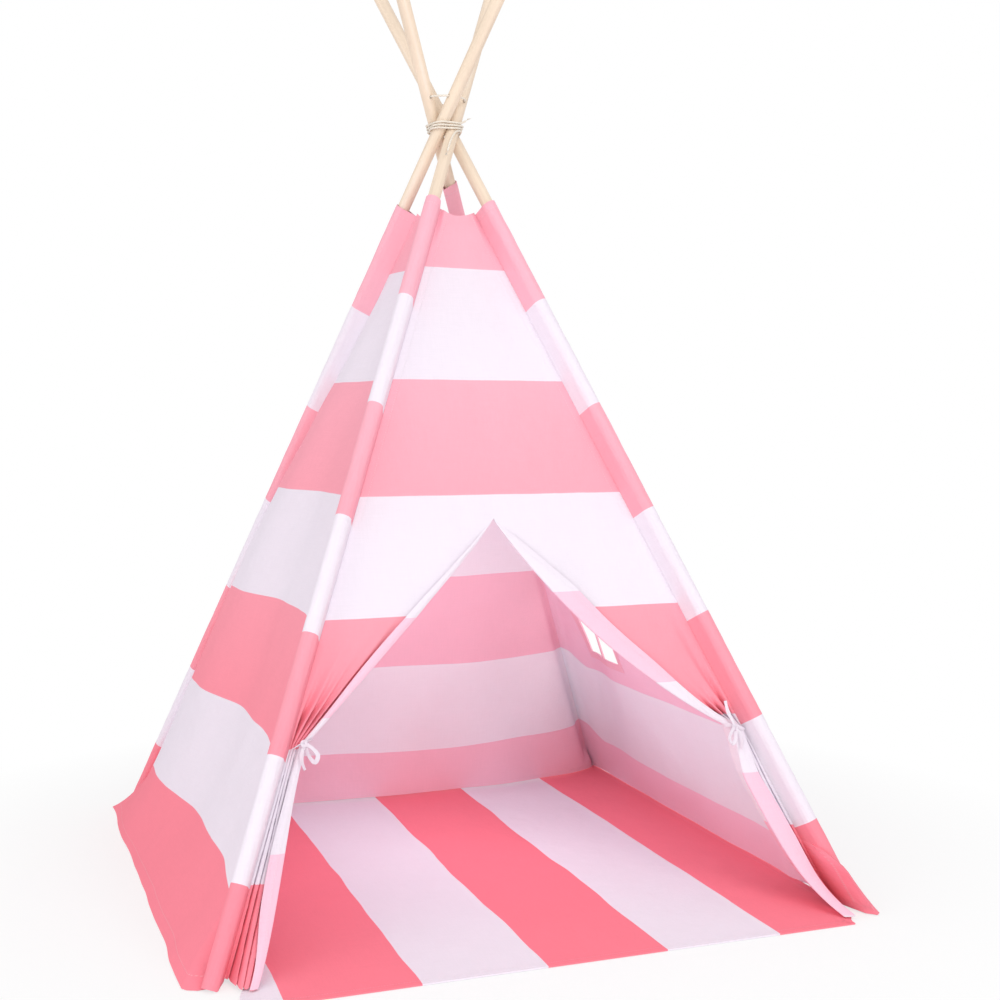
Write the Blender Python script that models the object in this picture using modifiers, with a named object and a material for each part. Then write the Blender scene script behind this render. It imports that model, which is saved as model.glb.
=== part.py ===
"""A child's teepee: four lashed poles in cloth sleeves, a striped cover, tied-back door flaps and a mat.

Metres, +Z up, +X to the right of someone who faces the door, +Y towards the back. The origin lies on
the floor, under the middle of the whole tent. Front and back poles fold together about the lashing.
"""

import math

import bmesh
import bpy
from mathutils import Matrix, Vector

# Poles
FOOT_SPACING = 1.14
CROSSING_HEIGHT = 1.34
POLE_LENGTH = 1.90
POLE_RADIUS = 0.011
POLE_CROSSING_GAP = 0.001
POLE_TIP_ROUND = 0.003
POLE_SIDES = 20
SECTION_COUNT = 3

# Ferrules that join the pole sections
FERRULE_LENGTH = 0.08
FERRULE_WALL = 0.001
SPIGOT_CLEARANCE = 0.0003
SECTION_GAP = 0.0006

# Cloth
CLOTH = 0.0015
TOUCH = 0.0003
SLEEVE_WALL = 0.0012
SLEEVE_REACH = 0.030
SLEEVE_SOLE = 0.004
SLEEVE_TOP_BELOW_CROSSING = 0.148
BACK_RIGHT_SLEEVE_TOP_BELOW_CROSSING = 0.095
SEAM_START = 0.0014

# Walls: where the cover starts, how far the hems stand off the floor, how the cloth hangs
COVER_TOP = 0.158
COVER_TOP_DIP = 0.016
HEM_CLEARANCE = 0.0012
SIDE_SLACK = 0.010
LEFT_BELLY = 0.044
RIGHT_BELLY = 0.022
LEFT_HEM_SPREAD = 0.082
LEFT_HEM_TAPER = 0.018
RIGHT_HEM_SPREAD = 0.092
RIGHT_HEM_INSET = 0.004
BACK_SAG = 0.150
BACK_HEM_LIFT = 0.0071
WALL_RIPPLE = 0.006
WALL_COLUMNS = 20
WALL_ROWS = 14
WALL_ROW_CROWDING = 1.5
SKIRT_POWER = 11
SAG_POWER = 3

# Door
DOOR_TOP = 0.672
LEFT_TIE_HEIGHT = 0.335
RIGHT_TIE_HEIGHT = 0.307
TIE_BUNCH = 0.022
FLAP_FOOT_OPEN = 0.054
FLAP_HEM_CLEARANCE = 0.0030
FLAP_PLEAT_DEPTH = 0.018
FLAP_PLEATS = 2.5
FLAP_COLUMNS = 16
FLAP_ROWS = 22
HEM_WIDTH = 0.022
HEM_THICKNESS = 0.003
HEM_POINTS = 12
HEM_END_GAP = 0.016
DOOR_GAP = 0.0012

# Tie-back ribbons
RIBBON_RADIUS = 0.0022
RIBBON_STANDOFF = 0.0093
BOW_SIZE = 0.020
# Inwards from the seam, upwards, and out from the cloth
BOW_SHARES = (
    (0.75, 0.0, 0.0),
    (0.30, 0.40, 0.15),
    (0.30, 1.05, 0.35),
    (0.80, 1.15, 0.50),
    (0.95, 0.35, 0.42),
    (0.80, -0.45, 0.50),
    (1.15, -1.10, 0.70),
    (1.60, -0.75, 0.80),
    (1.35, -0.05, 0.78),
    (0.85, 0.05, 0.98),
    (0.40, -0.60, 0.95),
    (0.35, -1.60, 0.75),
)

# Window in the right wall
WINDOW_WIDTH = 0.19
WINDOW_HEIGHT = 0.19
WINDOW_CENTRE_BACK = 0.195
WINDOW_SILL = 0.333
WINDOW_BAR = 0.016
WINDOW_BORDER = 0.014

# Floor mat
MAT_WIDTH = 1.07
MAT_DEPTH = 1.16
MAT_THICKNESS = 0.003
MAT_OVERHANG = 0.09
MAT_CORNER = 0.012

# Twine
TWINE_RADIUS = 0.0017
TWINE_TURNS = 3
TWINE_SLACK = 0.0007
TWINE_PITCH = 0.0046
TWINE_LOOP_POINTS = 24
RING_ABOVE_CROSSING = 0.047
RING_HOLE_RADIUS = 0.0028
RING_CHORD = 0.0164
RING_BULGE = 0.0013
RING_CHORD_SHARES = (-1, -0.4, 0.4, 1)
TWINE_TAIL = 0.040
TWINE_TAIL_STEPS = 5

SLEEVE_RADIUS = POLE_RADIUS + TOUCH * 2 + SLEEVE_WALL
HALF_SPACING = FOOT_SPACING / 2
TENT_BACK = (MAT_OVERHANG - SLEEVE_RADIUS) / 2
SPLAY = math.atan(math.hypot(HALF_SPACING, HALF_SPACING) / CROSSING_HEIGHT)
LASHING = Vector((0, TENT_BACK, CROSSING_HEIGHT))
LEAN_COS = math.cos(SPLAY)
SWIRL = (2 * POLE_RADIUS + POLE_CROSSING_GAP) * math.sqrt(1 + LEAN_COS**2) / (2 * LEAN_COS)

CORNERS = {
    "front_left": (-1, -1),
    "front_right": (1, -1),
    "back_left": (-1, 1),
    "back_right": (1, 1),
}
RING_ORDER = ("front_left", "front_right", "back_right", "back_left")

PINK = (0.86, 0.30, 0.37)
WHITE = (0.86, 0.84, 0.88)
WOOD = (0.83, 0.66, 0.45)
TWINE = (0.80, 0.68, 0.45)
ALUMINIUM = (0.75, 0.76, 0.78)


def clear_scene():
    for obj in list(bpy.data.objects):
        bpy.data.objects.remove(obj, do_unlink=True)


def collection(name):
    made = bpy.data.collections.new(name)
    bpy.context.scene.collection.children.link(made)
    return made


def material(name, colour, roughness=0.8, metallic=0.0):
    made = bpy.data.materials.new(name)
    made.use_nodes = True
    shader = made.node_tree.nodes["Principled BSDF"]
    shader.inputs["Base Color"].default_value = (*colour, 1)
    shader.inputs["Roughness"].default_value = roughness
    shader.inputs["Metallic"].default_value = metallic
    made.diffuse_color = (*colour, 1)
    return made


def new_object(name, mesh, colour, roughness=0.8, metallic=0.0, place=None):
    obj = bpy.data.objects.new(name, mesh)
    obj.data.materials.clear()
    obj.data.materials.append(material(name, colour, roughness, metallic))
    if place is not None:
        obj.matrix_world = place
    PARTS.objects.link(obj)
    return obj


def cut(obj, cutter, name):
    """Removes the cutter, a hidden wire object, from the solid."""
    modifier = obj.modifiers.new(name, "BOOLEAN")
    modifier.operation = "DIFFERENCE"
    modifier.object = cutter


def make_cutter(name, mesh, place=None):
    obj = bpy.data.objects.new(name, mesh)
    obj.hide_render = True
    obj.display_type = "WIRE"
    if place is not None:
        obj.matrix_world = place
    CUTTERS.objects.link(obj)
    return obj


def mesh_from(build):
    """A mesh made by a function that fills a bmesh, with its faces turned out."""
    mesh = bpy.data.meshes.new("shape")
    bm = bmesh.new()
    build(bm)
    bmesh.ops.recalc_face_normals(bm, faces=bm.faces)
    bm.to_mesh(mesh)
    bm.free()
    return mesh


def shade_round(mesh):
    """Smooth shading over all but the sharp edges."""
    mesh.shade_smooth()
    mesh.set_sharp_from_angle(angle=math.radians(40))


def carry(name, place, starts):
    """An empty on a joint's axis that carries the pieces whose names start so, and their cutters."""
    empty = bpy.data.objects.new(name, None)
    empty.location = place
    PARTS.objects.link(empty)
    for obj in [*PARTS.objects, *CUTTERS.objects]:
        if obj.type != "EMPTY" and obj.name.startswith(starts):
            obj.parent = empty
            obj.matrix_parent_inverse = Matrix.Translation(-place)


def cylinder_mesh(radius, length, sides, base=0.0):
    """A cylinder along +Z that starts at base."""

    def build(bm):
        lift = Matrix.Translation((0, 0, base + length / 2))
        bmesh.ops.create_cone(
            bm,
            cap_ends=True,
            segments=sides,
            radius1=radius,
            radius2=radius,
            depth=length,
            matrix=lift,
        )

    return mesh_from(build)


def box_mesh(low, high):
    def build(bm):
        size = Vector(high) - Vector(low)
        centre = (Vector(high) + Vector(low)) / 2
        bmesh.ops.create_cube(bm, size=1, matrix=Matrix.Translation(centre) @ Matrix.Diagonal((*size, 1)))

    return mesh_from(build)


def turned(name, profile, colour, roughness, metallic, place):
    """A turned piece: (radius, height) points down the outer side, from top to bottom, and back."""
    mesh = bpy.data.meshes.new(name)
    points = [(radius, 0, height) for radius, height in profile]
    closed = profile[0][0] > 0
    edges = [(i, i + 1) for i in range(len(points) - 1)]
    if closed:
        edges.append((len(points) - 1, 0))
    mesh.from_pydata(points, edges, [])
    obj = new_object(name, mesh, colour, roughness, metallic, place)
    screw = obj.modifiers.new("turn", "SCREW")
    screw.steps = POLE_SIDES
    screw.render_steps = POLE_SIDES
    screw.use_merge_vertices = True
    screw.merge_threshold = 0.00001
    return obj


def grid_sheet(name, point, columns, rows, colour, thickness=CLOTH):
    """A cloth sheet: a grid laid through point(u, v), with its thickness shared by both sides."""
    mesh = bpy.data.meshes.new(name)
    bm = bmesh.new()
    bmesh.ops.create_grid(bm, x_segments=columns, y_segments=rows, size=0.5)
    for vert in bm.verts:
        u = vert.co.x + 0.5
        v = 0.5 - vert.co.y
        vert.co = point(u, v)
    bm.to_mesh(mesh)
    bm.free()
    shade_round(mesh)
    obj = new_object(name, mesh, colour)
    solid = obj.modifiers.new("thickness", "SOLIDIFY")
    solid.thickness = thickness
    solid.offset = 0
    solid.use_even_offset = True
    return obj


def tube(name, points, radius, colour, resolution=1, cyclic=False):
    """A tube with capped ends along the points."""
    curve = bpy.data.curves.new(name, "CURVE")
    curve.dimensions = "3D"
    curve.bevel_depth = radius
    curve.bevel_resolution = resolution
    curve.use_fill_caps = not cyclic
    line = curve.splines.new("POLY")
    line.points.add(len(points) - 1)
    for target, place in zip(line.points, points):
        target.co = (*place, 1)
    line.use_cyclic_u = cyclic
    obj = bpy.data.objects.new(name, curve)
    curve.materials.append(material(name, colour))
    PARTS.objects.link(obj)
    return obj


def smooth_route(points, spacing):
    """Points at an even spacing along a smooth curve through the given ones."""
    dense = []
    for i in range(len(points) - 1):
        before = points[max(i - 1, 0)]
        start, end = points[i], points[i + 1]
        after = points[min(i + 2, len(points) - 1)]
        for step in range(16):
            t = step / 16
            dense.append(
                0.5
                * (
                    2 * start
                    + (end - before) * t
                    + (2 * before - 5 * start + 4 * end - after) * t**2
                    + (3 * start - before - 3 * end + after) * t**3
                )
            )
    dense.append(points[-1])
    spaced, walked = [dense[0]], 0.0
    for a, b in zip(dense, dense[1:]):
        walked += (b - a).length
        if walked >= spacing:
            spaced.append(b)
            walked = 0.0
    if (spaced[-1] - dense[-1]).length < spacing / 2:
        spaced.pop()
    return [*spaced, dense[-1]]


class Pole:
    """The straight line of one pole, from its foot point on the floor past the crossing."""

    def __init__(self, name):
        side, depth = CORNERS[name]
        self.name = name
        self.foot = Vector((side * HALF_SPACING, TENT_BACK + depth * HALF_SPACING, 0))
        outward = Vector((side, depth, 0)).normalized()
        swirl = Vector((-outward.y, outward.x, 0)) * SWIRL
        self.crossing = LASHING + swirl
        self.axis = (self.crossing - self.foot).normalized()
        self.inward = (-outward + outward.dot(self.axis) * self.axis).normalized()
        self.below = (self.crossing - self.foot).length
        across = self.axis.cross(self.inward)
        turn = Matrix((self.inward, across, self.axis)).transposed()
        self.place = Matrix.Translation(self.foot) @ turn.to_4x4()
        lean = math.sqrt(1 - self.axis.z**2)
        self.start = (SLEEVE_SOLE + POLE_RADIUS * lean) / self.axis.z

    def at_height(self, z):
        return self.foot + self.axis * (z / self.axis.z)

    def seam(self, z):
        """The sleeve's seam at this height, where two walls meet."""
        start = self.foot + self.inward * SLEEVE_REACH
        return start + self.axis * ((z - start.z) / self.axis.z)


POLES = {name: Pole(name) for name in CORNERS}
SLEEVE_TOPS = {name: SLEEVE_TOP_BELOW_CROSSING for name in CORNERS}
SLEEVE_TOPS["back_right"] = BACK_RIGHT_SLEEVE_TOP_BELOW_CROSSING


def pole_sections(pole):
    """Three turned sections, joined by two ferrules that lie flush with the wood."""
    length = POLE_LENGTH / SECTION_COUNT
    spigot = POLE_RADIUS - FERRULE_WALL - SPIGOT_CLEARANCE
    half = FERRULE_LENGTH / 2
    labels = ("lower", "middle", "upper")
    for index, label in enumerate(labels):
        low = pole.start + index * length + (SECTION_GAP / 2 if index else 0)
        high = pole.start + (index + 1) * length - (SECTION_GAP / 2 if index < SECTION_COUNT - 1 else 0)
        if index < SECTION_COUNT - 1:
            shoulder = high - half - SPIGOT_CLEARANCE
            profile = [(0, high), (spigot, high), (spigot, shoulder), (POLE_RADIUS, shoulder)]
        else:
            tip = POLE_RADIUS - POLE_TIP_ROUND
            profile = [(0, high), (tip, high), (POLE_RADIUS, high - POLE_TIP_ROUND)]
        if index:
            shoulder = low + half + SPIGOT_CLEARANCE
            profile += [(POLE_RADIUS, shoulder), (spigot, shoulder), (spigot, low), (0, low)]
        else:
            profile += [(POLE_RADIUS, low), (0, low)]
        section = turned(f"{pole.name}_pole_{label}", profile, WOOD, 0.5, 0.0, pole.place)
        if index == SECTION_COUNT - 1:
            drill_ring_hole(section, pole)
    for index, label in enumerate(("lower", "upper")):
        middle = pole.start + (index + 1) * length
        inner = POLE_RADIUS - FERRULE_WALL
        profile = [
            (inner, middle + half),
            (POLE_RADIUS, middle + half),
            (POLE_RADIUS, middle - half),
            (inner, middle - half),
        ]
        turned(f"{pole.name}_ferrule_{label}", profile, ALUMINIUM, 0.35, 1.0, pole.place)


def ring_height():
    return CROSSING_HEIGHT + RING_ABOVE_CROSSING


def ring_direction(pole):
    """The level direction of the twine ring where it passes through this pole."""
    centre = pole.at_height(ring_height())
    spoke = centre - Vector((LASHING.x, LASHING.y, centre.z))
    return Vector((-spoke.y, spoke.x, 0)).normalized()


def drill_ring_hole(section, pole):
    """The hole above the crossing that the upper ring of twine runs through."""
    centre = pole.at_height(ring_height())
    turn = ring_direction(pole).to_track_quat("Z", "Y").to_matrix().to_4x4()
    reach = 4 * POLE_RADIUS
    drill = make_cutter(
        f"{pole.name}_drill",
        cylinder_mesh(RING_HOLE_RADIUS, reach, 10, -reach / 2),
        Matrix.Translation(centre) @ turn,
    )
    cut(section, drill, "twine hole")


def sleeve_outline():
    """The sleeve's section: round the pole, then drawn in flat to its seam."""
    tangent = math.acos(SLEEVE_RADIUS / SLEEVE_REACH)
    count = 14
    points = []
    for i in range(count + 1):
        angle = tangent + (math.tau - 2 * tangent) * i / count
        points.append((SLEEVE_RADIUS * math.cos(angle), SLEEVE_RADIUS * math.sin(angle)))
    half_seam = SLEEVE_WALL / 2
    return [*points, (SLEEVE_REACH, -half_seam), (SLEEVE_REACH, half_seam)]


def sleeve(pole):
    """The cloth sleeve on one pole, closed under the pole's foot and cut flat on the floor."""
    top = pole.below - SLEEVE_TOPS[pole.name]
    overrun = SLEEVE_REACH

    def build(bm):
        ring = [bm.verts.new((x, y, -overrun)) for x, y in sleeve_outline()]
        face = bm.faces.new(ring)
        lifted = bmesh.ops.extrude_face_region(bm, geom=[face])["geom"]
        raised = [item for item in lifted if isinstance(item, bmesh.types.BMVert)]
        bmesh.ops.translate(bm, verts=raised, vec=(0, 0, top + overrun))

    mesh = mesh_from(build)
    shade_round(mesh)
    obj = new_object(f"{pole.name}_sleeve", mesh, PINK, place=pole.place)
    bore_radius = (POLE_RADIUS + TOUCH) / math.cos(math.pi / POLE_SIDES)
    bore_start = pole.start - TOUCH
    bore = make_cutter(
        f"{pole.name}_bore",
        cylinder_mesh(bore_radius, top - bore_start + overrun, POLE_SIDES, bore_start),
        pole.place,
    )
    cut(obj, bore, "pole bore")
    cut(obj, FLOOR, "floor cut")


class Wall:
    """A face of the tent between two poles' seams; u runs from the first pole to the second."""

    def __init__(self, first, second):
        self.first, self.second = POLES[first], POLES[second]
        across = self.second.foot - self.first.foot
        up = self.first.axis + self.second.axis
        self.normal = across.cross(up).normalized()
        self.level = Vector((self.normal.x, self.normal.y, 0)).normalized()

    def span(self, z):
        """The two ends of the cloth at this height, clear of both seams."""
        a, b = self.first.seam(z), self.second.seam(z)
        inset = (b - a).normalized() * SEAM_START
        return a + inset, b - inset

    def at(self, u, z, outward=0.0):
        """The point at this share of the span and at this height, moved level and outwards."""
        a, b = self.span(z)
        return a.lerp(b, u) + self.level * outward

    def at_x(self, x, z, outward=0.0):
        a, b = self.span(z)
        return self.at((x - a.x) / (b.x - a.x), z, outward)


FRONT = Wall("front_left", "front_right")
RIGHT = Wall("front_right", "back_right")
BACK = Wall("back_right", "back_left")
LEFT = Wall("back_left", "front_left")


def cover_top(u):
    """The cover's top edge dips between the sleeves."""
    return CROSSING_HEIGHT - COVER_TOP - COVER_TOP_DIP * math.sin(math.pi * u)


def fall_share(z):
    """0 at the top of the cover, 1 at the floor."""
    return min(max(1 - z / (CROSSING_HEIGHT - COVER_TOP), 0), 1)


def smooth_share(t):
    """0 below 0, 1 above 1, and a smooth rise between."""
    t = min(max(t, 0), 1)
    return t * t * (3 - 2 * t)


def wall_height(u, v, hem):
    """Height of a wall's grid line, whose rows crowd towards the hem."""
    top_share = (1 - v) ** WALL_ROW_CROWDING
    return cover_top(u) * top_share + hem * (1 - top_share)


def wall_ripple(u, fall):
    held_share = math.sin(math.pi * u)
    return WALL_RIPPLE * fall**3 * math.sin(3 * math.tau * u) * held_share


def side_wall_point(wall, u, v):
    """A side wall: slack where it hangs, and its hem spreads over the floor."""
    z = wall_height(u, v, HEM_CLEARANCE)
    fall = fall_share(z)
    ahead_share = u if wall is LEFT else 1 - u
    held_share = smooth_share(min(u, 1 - u) / 0.05)
    if wall is LEFT:
        belly = LEFT_BELLY * (1 - smooth_share((ahead_share - 0.24) / 0.34))
        hem = LEFT_HEM_SPREAD - LEFT_HEM_TAPER * ahead_share
    else:
        belly = RIGHT_BELLY * (1 - smooth_share((ahead_share - 0.16) / 0.16))
        hem = RIGHT_HEM_SPREAD * smooth_share((ahead_share - 0.2) / 0.9) - RIGHT_HEM_INSET
    slack = (SIDE_SLACK + belly * smooth_share(ahead_share / 0.14)) * smooth_share(fall / 0.55)
    skirt_share = fall**SKIRT_POWER
    out = slack * (1 - skirt_share) + hem * skirt_share
    return wall.at(u, z, out * held_share + wall_ripple(u, fall))


def back_wall_point(u, v):
    """The back wall hangs inwards, and its hem lies over the mat's edge."""
    hem = HEM_CLEARANCE + BACK_HEM_LIFT * math.sin(math.pi * u) ** 0.25
    z = wall_height(u, v, hem)
    fall = fall_share(z)
    belly_share = math.sin(math.pi * u) ** 0.4
    return BACK.at(u, z, wall_ripple(u, fall) - BACK_SAG * fall**SAG_POWER * belly_share)


def front_panel_point(u, v):
    bottom = DOOR_TOP + TOUCH
    return FRONT.at(u, cover_top(u) * (1 - v) + bottom * v)


def seam_x(side, z):
    """Where the front wall ends beside the sleeve: side -1 is the left one, 1 the right one."""
    a, b = FRONT.span(z)
    return b.x if side > 0 else a.x


def tie_height(side):
    return RIGHT_TIE_HEIGHT if side > 0 else LEFT_TIE_HEIGHT


def flap_edge_x(side, z):
    """How far the tied-back free edge of a flap stands from the middle of the door at this height."""
    tie_z = tie_height(side)
    tie = abs(seam_x(side, tie_z)) - TIE_BUNCH
    if z >= tie_z:
        t = (DOOR_TOP - z) / (DOOR_TOP - tie_z)
        return DOOR_GAP + (tie - DOOR_GAP) * t
    t = 1 - z / tie_z
    foot = abs(seam_x(side, 0)) - FLAP_FOOT_OPEN
    return tie + (foot - tie) * t


def flap_point(side, u, v):
    """A tied-back flap: flat above the ribbon, drawn in at it, and hanging in pleats below."""
    tie_z = tie_height(side)
    z = (DOOR_TOP - TOUCH) * (1 - v) + (MAT_THICKNESS + FLAP_HEM_CLEARANCE) * v
    seam = seam_x(side, z)
    x = seam + (side * flap_edge_x(side, z) - seam) * u
    below = max(1 - z / tie_z, 0)
    hang_share = math.sin(below * math.pi / 2)
    wave = math.sin(math.pi * u) ** 0.5 * math.sin(FLAP_PLEATS * math.tau * u)
    return FRONT.at_x(x, z, wave * max(FLAP_PLEAT_DEPTH * hang_share, gather_lift(side, z)))


def gather_lift(side, z):
    """How far the drawn-in cloth stands out from the wall, just above the ribbon."""
    tie_z = tie_height(side)
    above = min(max((z - tie_z) / (DOOR_TOP - tie_z), 0), 1)
    return TIE_BUNCH / 5 * (1 - above) ** 6


def flap(side, name):
    grid_sheet(name, lambda u, v: flap_point(side, u, v), FLAP_COLUMNS, FLAP_ROWS, PINK)


def flap_hem(side, name):
    """The turned-back edge of a flap, from the door's top down to just above the ribbon."""
    top_gap = HEM_END_GAP / 2
    bottom = tie_height(side) + HEM_END_GAP
    front = CLOTH / 2 + TOUCH + HEM_THICKNESS / 2

    def point(u, v):
        z = (DOOR_TOP - top_gap) * (1 - v) + bottom * v
        x = side * (flap_edge_x(side, z) + DOOR_GAP + HEM_WIDTH * u)
        return FRONT.at_x(x, z, gather_lift(side, z)) + FRONT.normal * front

    grid_sheet(name, point, 2, HEM_POINTS, WHITE, HEM_THICKNESS)


def ribbon(side, name):
    """A ribbon sewn at the seam, wrapped round the drawn-in flap and tied in front with a bow."""
    tie_z = tie_height(side)
    seam = abs(seam_x(side, tie_z))
    wrap = RIBBON_STANDOFF
    turn = TIE_BUNCH + RIBBON_STANDOFF / 2
    route = [
        (RIBBON_RADIUS * 2, 0.0, -wrap),
        (TIE_BUNCH / 2, 0.0, -wrap),
        (turn, 0.0, -wrap / 2),
        (turn, 0.0, wrap / 2),
    ]
    for inward_share, up_share, out_share in BOW_SHARES:
        route.append((BOW_SIZE * inward_share, BOW_SIZE * up_share, wrap + BOW_SIZE * out_share))
    points = [FRONT.at_x(side * (seam - i), tie_z + up, out) for i, up, out in route]
    spaced = smooth_route(points, RIBBON_RADIUS * 1.8)
    tube(name, spaced, RIBBON_RADIUS, WHITE, 1)
    return spaced


def window_panes():
    """The low and high ends of the two pane columns along Y, and of the two rows along Z."""
    low_y = TENT_BACK + WINDOW_CENTRE_BACK - WINDOW_WIDTH / 2
    half_bar = WINDOW_BAR / 2
    mid_y = low_y + WINDOW_WIDTH / 2
    mid_z = WINDOW_SILL + WINDOW_HEIGHT / 2
    columns = ((low_y, mid_y - half_bar), (mid_y + half_bar, low_y + WINDOW_WIDTH))
    rows = ((WINDOW_SILL, mid_z - half_bar), (mid_z + half_bar, WINDOW_SILL + WINDOW_HEIGHT))
    return columns, rows


def window_block(margin):
    """A block through the right wall, wider than the window by the margin on every side."""
    columns, rows = window_panes()
    low = (0, columns[0][0] - margin, rows[0][0] - margin)
    high = (FOOT_SPACING, columns[1][1] + margin, rows[1][1] + margin)
    return box_mesh(low, high)


def right_wall():
    """The right side wall, cut through for its window, and the window's sewn border and bars."""

    def laid(name, colour):
        return grid_sheet(
            name, lambda u, v: side_wall_point(RIGHT, u, v), WALL_COLUMNS, WALL_ROWS, colour
        )

    cut(laid("right_wall", PINK), make_cutter("window_cutter", window_block(WINDOW_BORDER)), "window")
    frame = laid("window_frame", WHITE)
    keep = frame.modifiers.new("border", "BOOLEAN")
    keep.operation = "INTERSECT"
    keep.object = make_cutter("border_block", window_block(WINDOW_BORDER - TOUCH))
    columns, rows = window_panes()
    for i, (low_y, high_y) in enumerate(columns):
        for j, (low_z, high_z) in enumerate(rows):
            pane = box_mesh((0, low_y, low_z), (FOOT_SPACING, high_y, high_z))
            cut(frame, make_cutter(f"pane_cutter_{i}{j}", pane), f"pane {i}{j}")


def floor_mat():
    """The striped mat: a flat rectangle with its corners cut a little round."""
    low_y = TENT_BACK - HALF_SPACING - MAT_OVERHANG

    def build(bm):
        half = MAT_WIDTH / 2
        size = Matrix.Diagonal((MAT_WIDTH, MAT_DEPTH, MAT_THICKNESS, 1))
        centre = Matrix.Translation((0, low_y + MAT_DEPTH / 2, MAT_THICKNESS / 2))
        bmesh.ops.create_cube(bm, size=1, matrix=centre @ size)
        upright = [e for e in bm.edges if abs(e.verts[0].co.z - e.verts[1].co.z) > MAT_THICKNESS / 2]
        bmesh.ops.bevel(bm, geom=upright, offset=min(MAT_CORNER, half), segments=3, affect="EDGES")

    new_object("floor_mat", mesh_from(build), PINK)


def bundle_loop_point(z, angle, clearance):
    """A point of a tight level loop round the four poles at this height."""
    reach = POLE_RADIUS / LEAN_COS + clearance
    direction = Vector((math.cos(angle), math.sin(angle), 0))
    far = max((pole.at_height(z) for pole in POLES.values()), key=lambda p: p.dot(direction))
    return Vector((far.x, far.y, z)) + direction * reach


def twine_lashing():
    """Turns of twine round the crossing, each above the last, and a free tail at each end."""
    clearance = TWINE_SLACK + TWINE_RADIUS
    points = []
    count = TWINE_TURNS * TWINE_LOOP_POINTS
    low = CROSSING_HEIGHT - TWINE_PITCH * TWINE_TURNS / 2
    for i in range(count + 1):
        angle = math.tau * i / TWINE_LOOP_POINTS - math.pi / 3
        z = low + TWINE_PITCH * i / TWINE_LOOP_POINTS
        points.append(bundle_loop_point(z, angle, clearance))
    first_out = (points[0] - points[1]).normalized()
    last_out = (points[-1] - points[-2]).normalized()
    shares = [k / TWINE_TAIL_STEPS for k in range(1, TWINE_TAIL_STEPS + 1)]
    head, tail = [], []
    for share in shares:
        sink = Vector((0, 0, TWINE_TAIL * share**2))
        rise = Vector((0, 0, TWINE_PITCH * share))
        head.append(points[0] + first_out * TWINE_TAIL * share - sink)
        tail.append(points[-1] + last_out * TWINE_TAIL * share + rise)
    route = [*reversed(head), *points, *tail]
    tube("twine_lashing", route, TWINE_RADIUS, TWINE, 1)
    return route


def twine_ring():
    """The upper twine: straight through the drilled holes, rounded between the poles."""
    height = ring_height()
    centres = [POLES[name].at_height(height) for name in RING_ORDER]
    directions = [ring_direction(POLES[name]) for name in RING_ORDER]
    middle = Vector((LASHING.x, LASHING.y, height))
    points = []
    for index, (centre, direction) in enumerate(zip(centres, directions)):
        for share in RING_CHORD_SHARES:
            points.append(centre + direction * RING_CHORD * share)
        after = (index + 1) % len(centres)
        start = centre + direction * RING_CHORD
        end = centres[after] - directions[after] * RING_CHORD
        halfway = (start + end) / 2
        points.append(halfway + (halfway - middle).normalized() * RING_BULGE)
    tube("twine_ring", points, TWINE_RADIUS, TWINE, 1, cyclic=True)


def least_self_gap(points, radius, skip):
    """The least clear distance between stretches of a tube that lie more than skip points apart."""
    least = math.inf
    for i, a in enumerate(points):
        for b in points[i + skip :]:
            least = min(least, (a - b).length - 2 * radius)
    return least


clear_scene()
PARTS = collection("teepee")
CUTTERS = collection("cutters")
FLOOR = make_cutter(
    "floor_cutter",
    box_mesh((-FOOT_SPACING, -FOOT_SPACING, -FOOT_SPACING), (FOOT_SPACING, FOOT_SPACING, 0)),
)

for each in POLES.values():
    pole_sections(each)
    sleeve(each)

grid_sheet("front_panel", front_panel_point, WALL_COLUMNS, WALL_ROWS // 2, PINK)
grid_sheet("left_wall", lambda u, v: side_wall_point(LEFT, u, v), WALL_COLUMNS, WALL_ROWS, PINK)
grid_sheet("back_wall", back_wall_point, WALL_COLUMNS, WALL_ROWS, PINK)
right_wall()
flap(-1, "left_flap")
flap(1, "right_flap")
flap_hem(-1, "left_flap_hem")
flap_hem(1, "right_flap_hem")
left_ribbon = ribbon(-1, "left_tie_ribbon")
right_ribbon = ribbon(1, "right_tie_ribbon")
floor_mat()
lashing_route = twine_lashing()
twine_ring()

DOOR_PEAK = FRONT.at(0.5, DOOR_TOP)
carry("front_fold_axis", LASHING, ("front_", "left_tie", "right_tie"))
carry("back_fold_axis", LASHING, ("back_",))
carry("lift_axis", LASHING, ("left_wall", "right_wall", "window", "border", "pane", "twine_"))
carry("left_door_axis", DOOR_PEAK, ("left_flap",))
carry("right_door_axis", DOOR_PEAK, ("right_flap",))

print(f"least gap of the lashing to itself {least_self_gap(lashing_route, TWINE_RADIUS, 12) * 1000:.2f} mm")
print(f"least gap of a ribbon to itself {least_self_gap(left_ribbon, RIBBON_RADIUS, 5) * 1000:.2f} mm")
print(f"pole swirl {SWIRL * 1000:.2f} mm, tent axis {TENT_BACK * 1000:.2f} mm behind the origin")
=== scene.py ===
"""A child's square play teepee: striped cotton hung on four tied poles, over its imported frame."""

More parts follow.
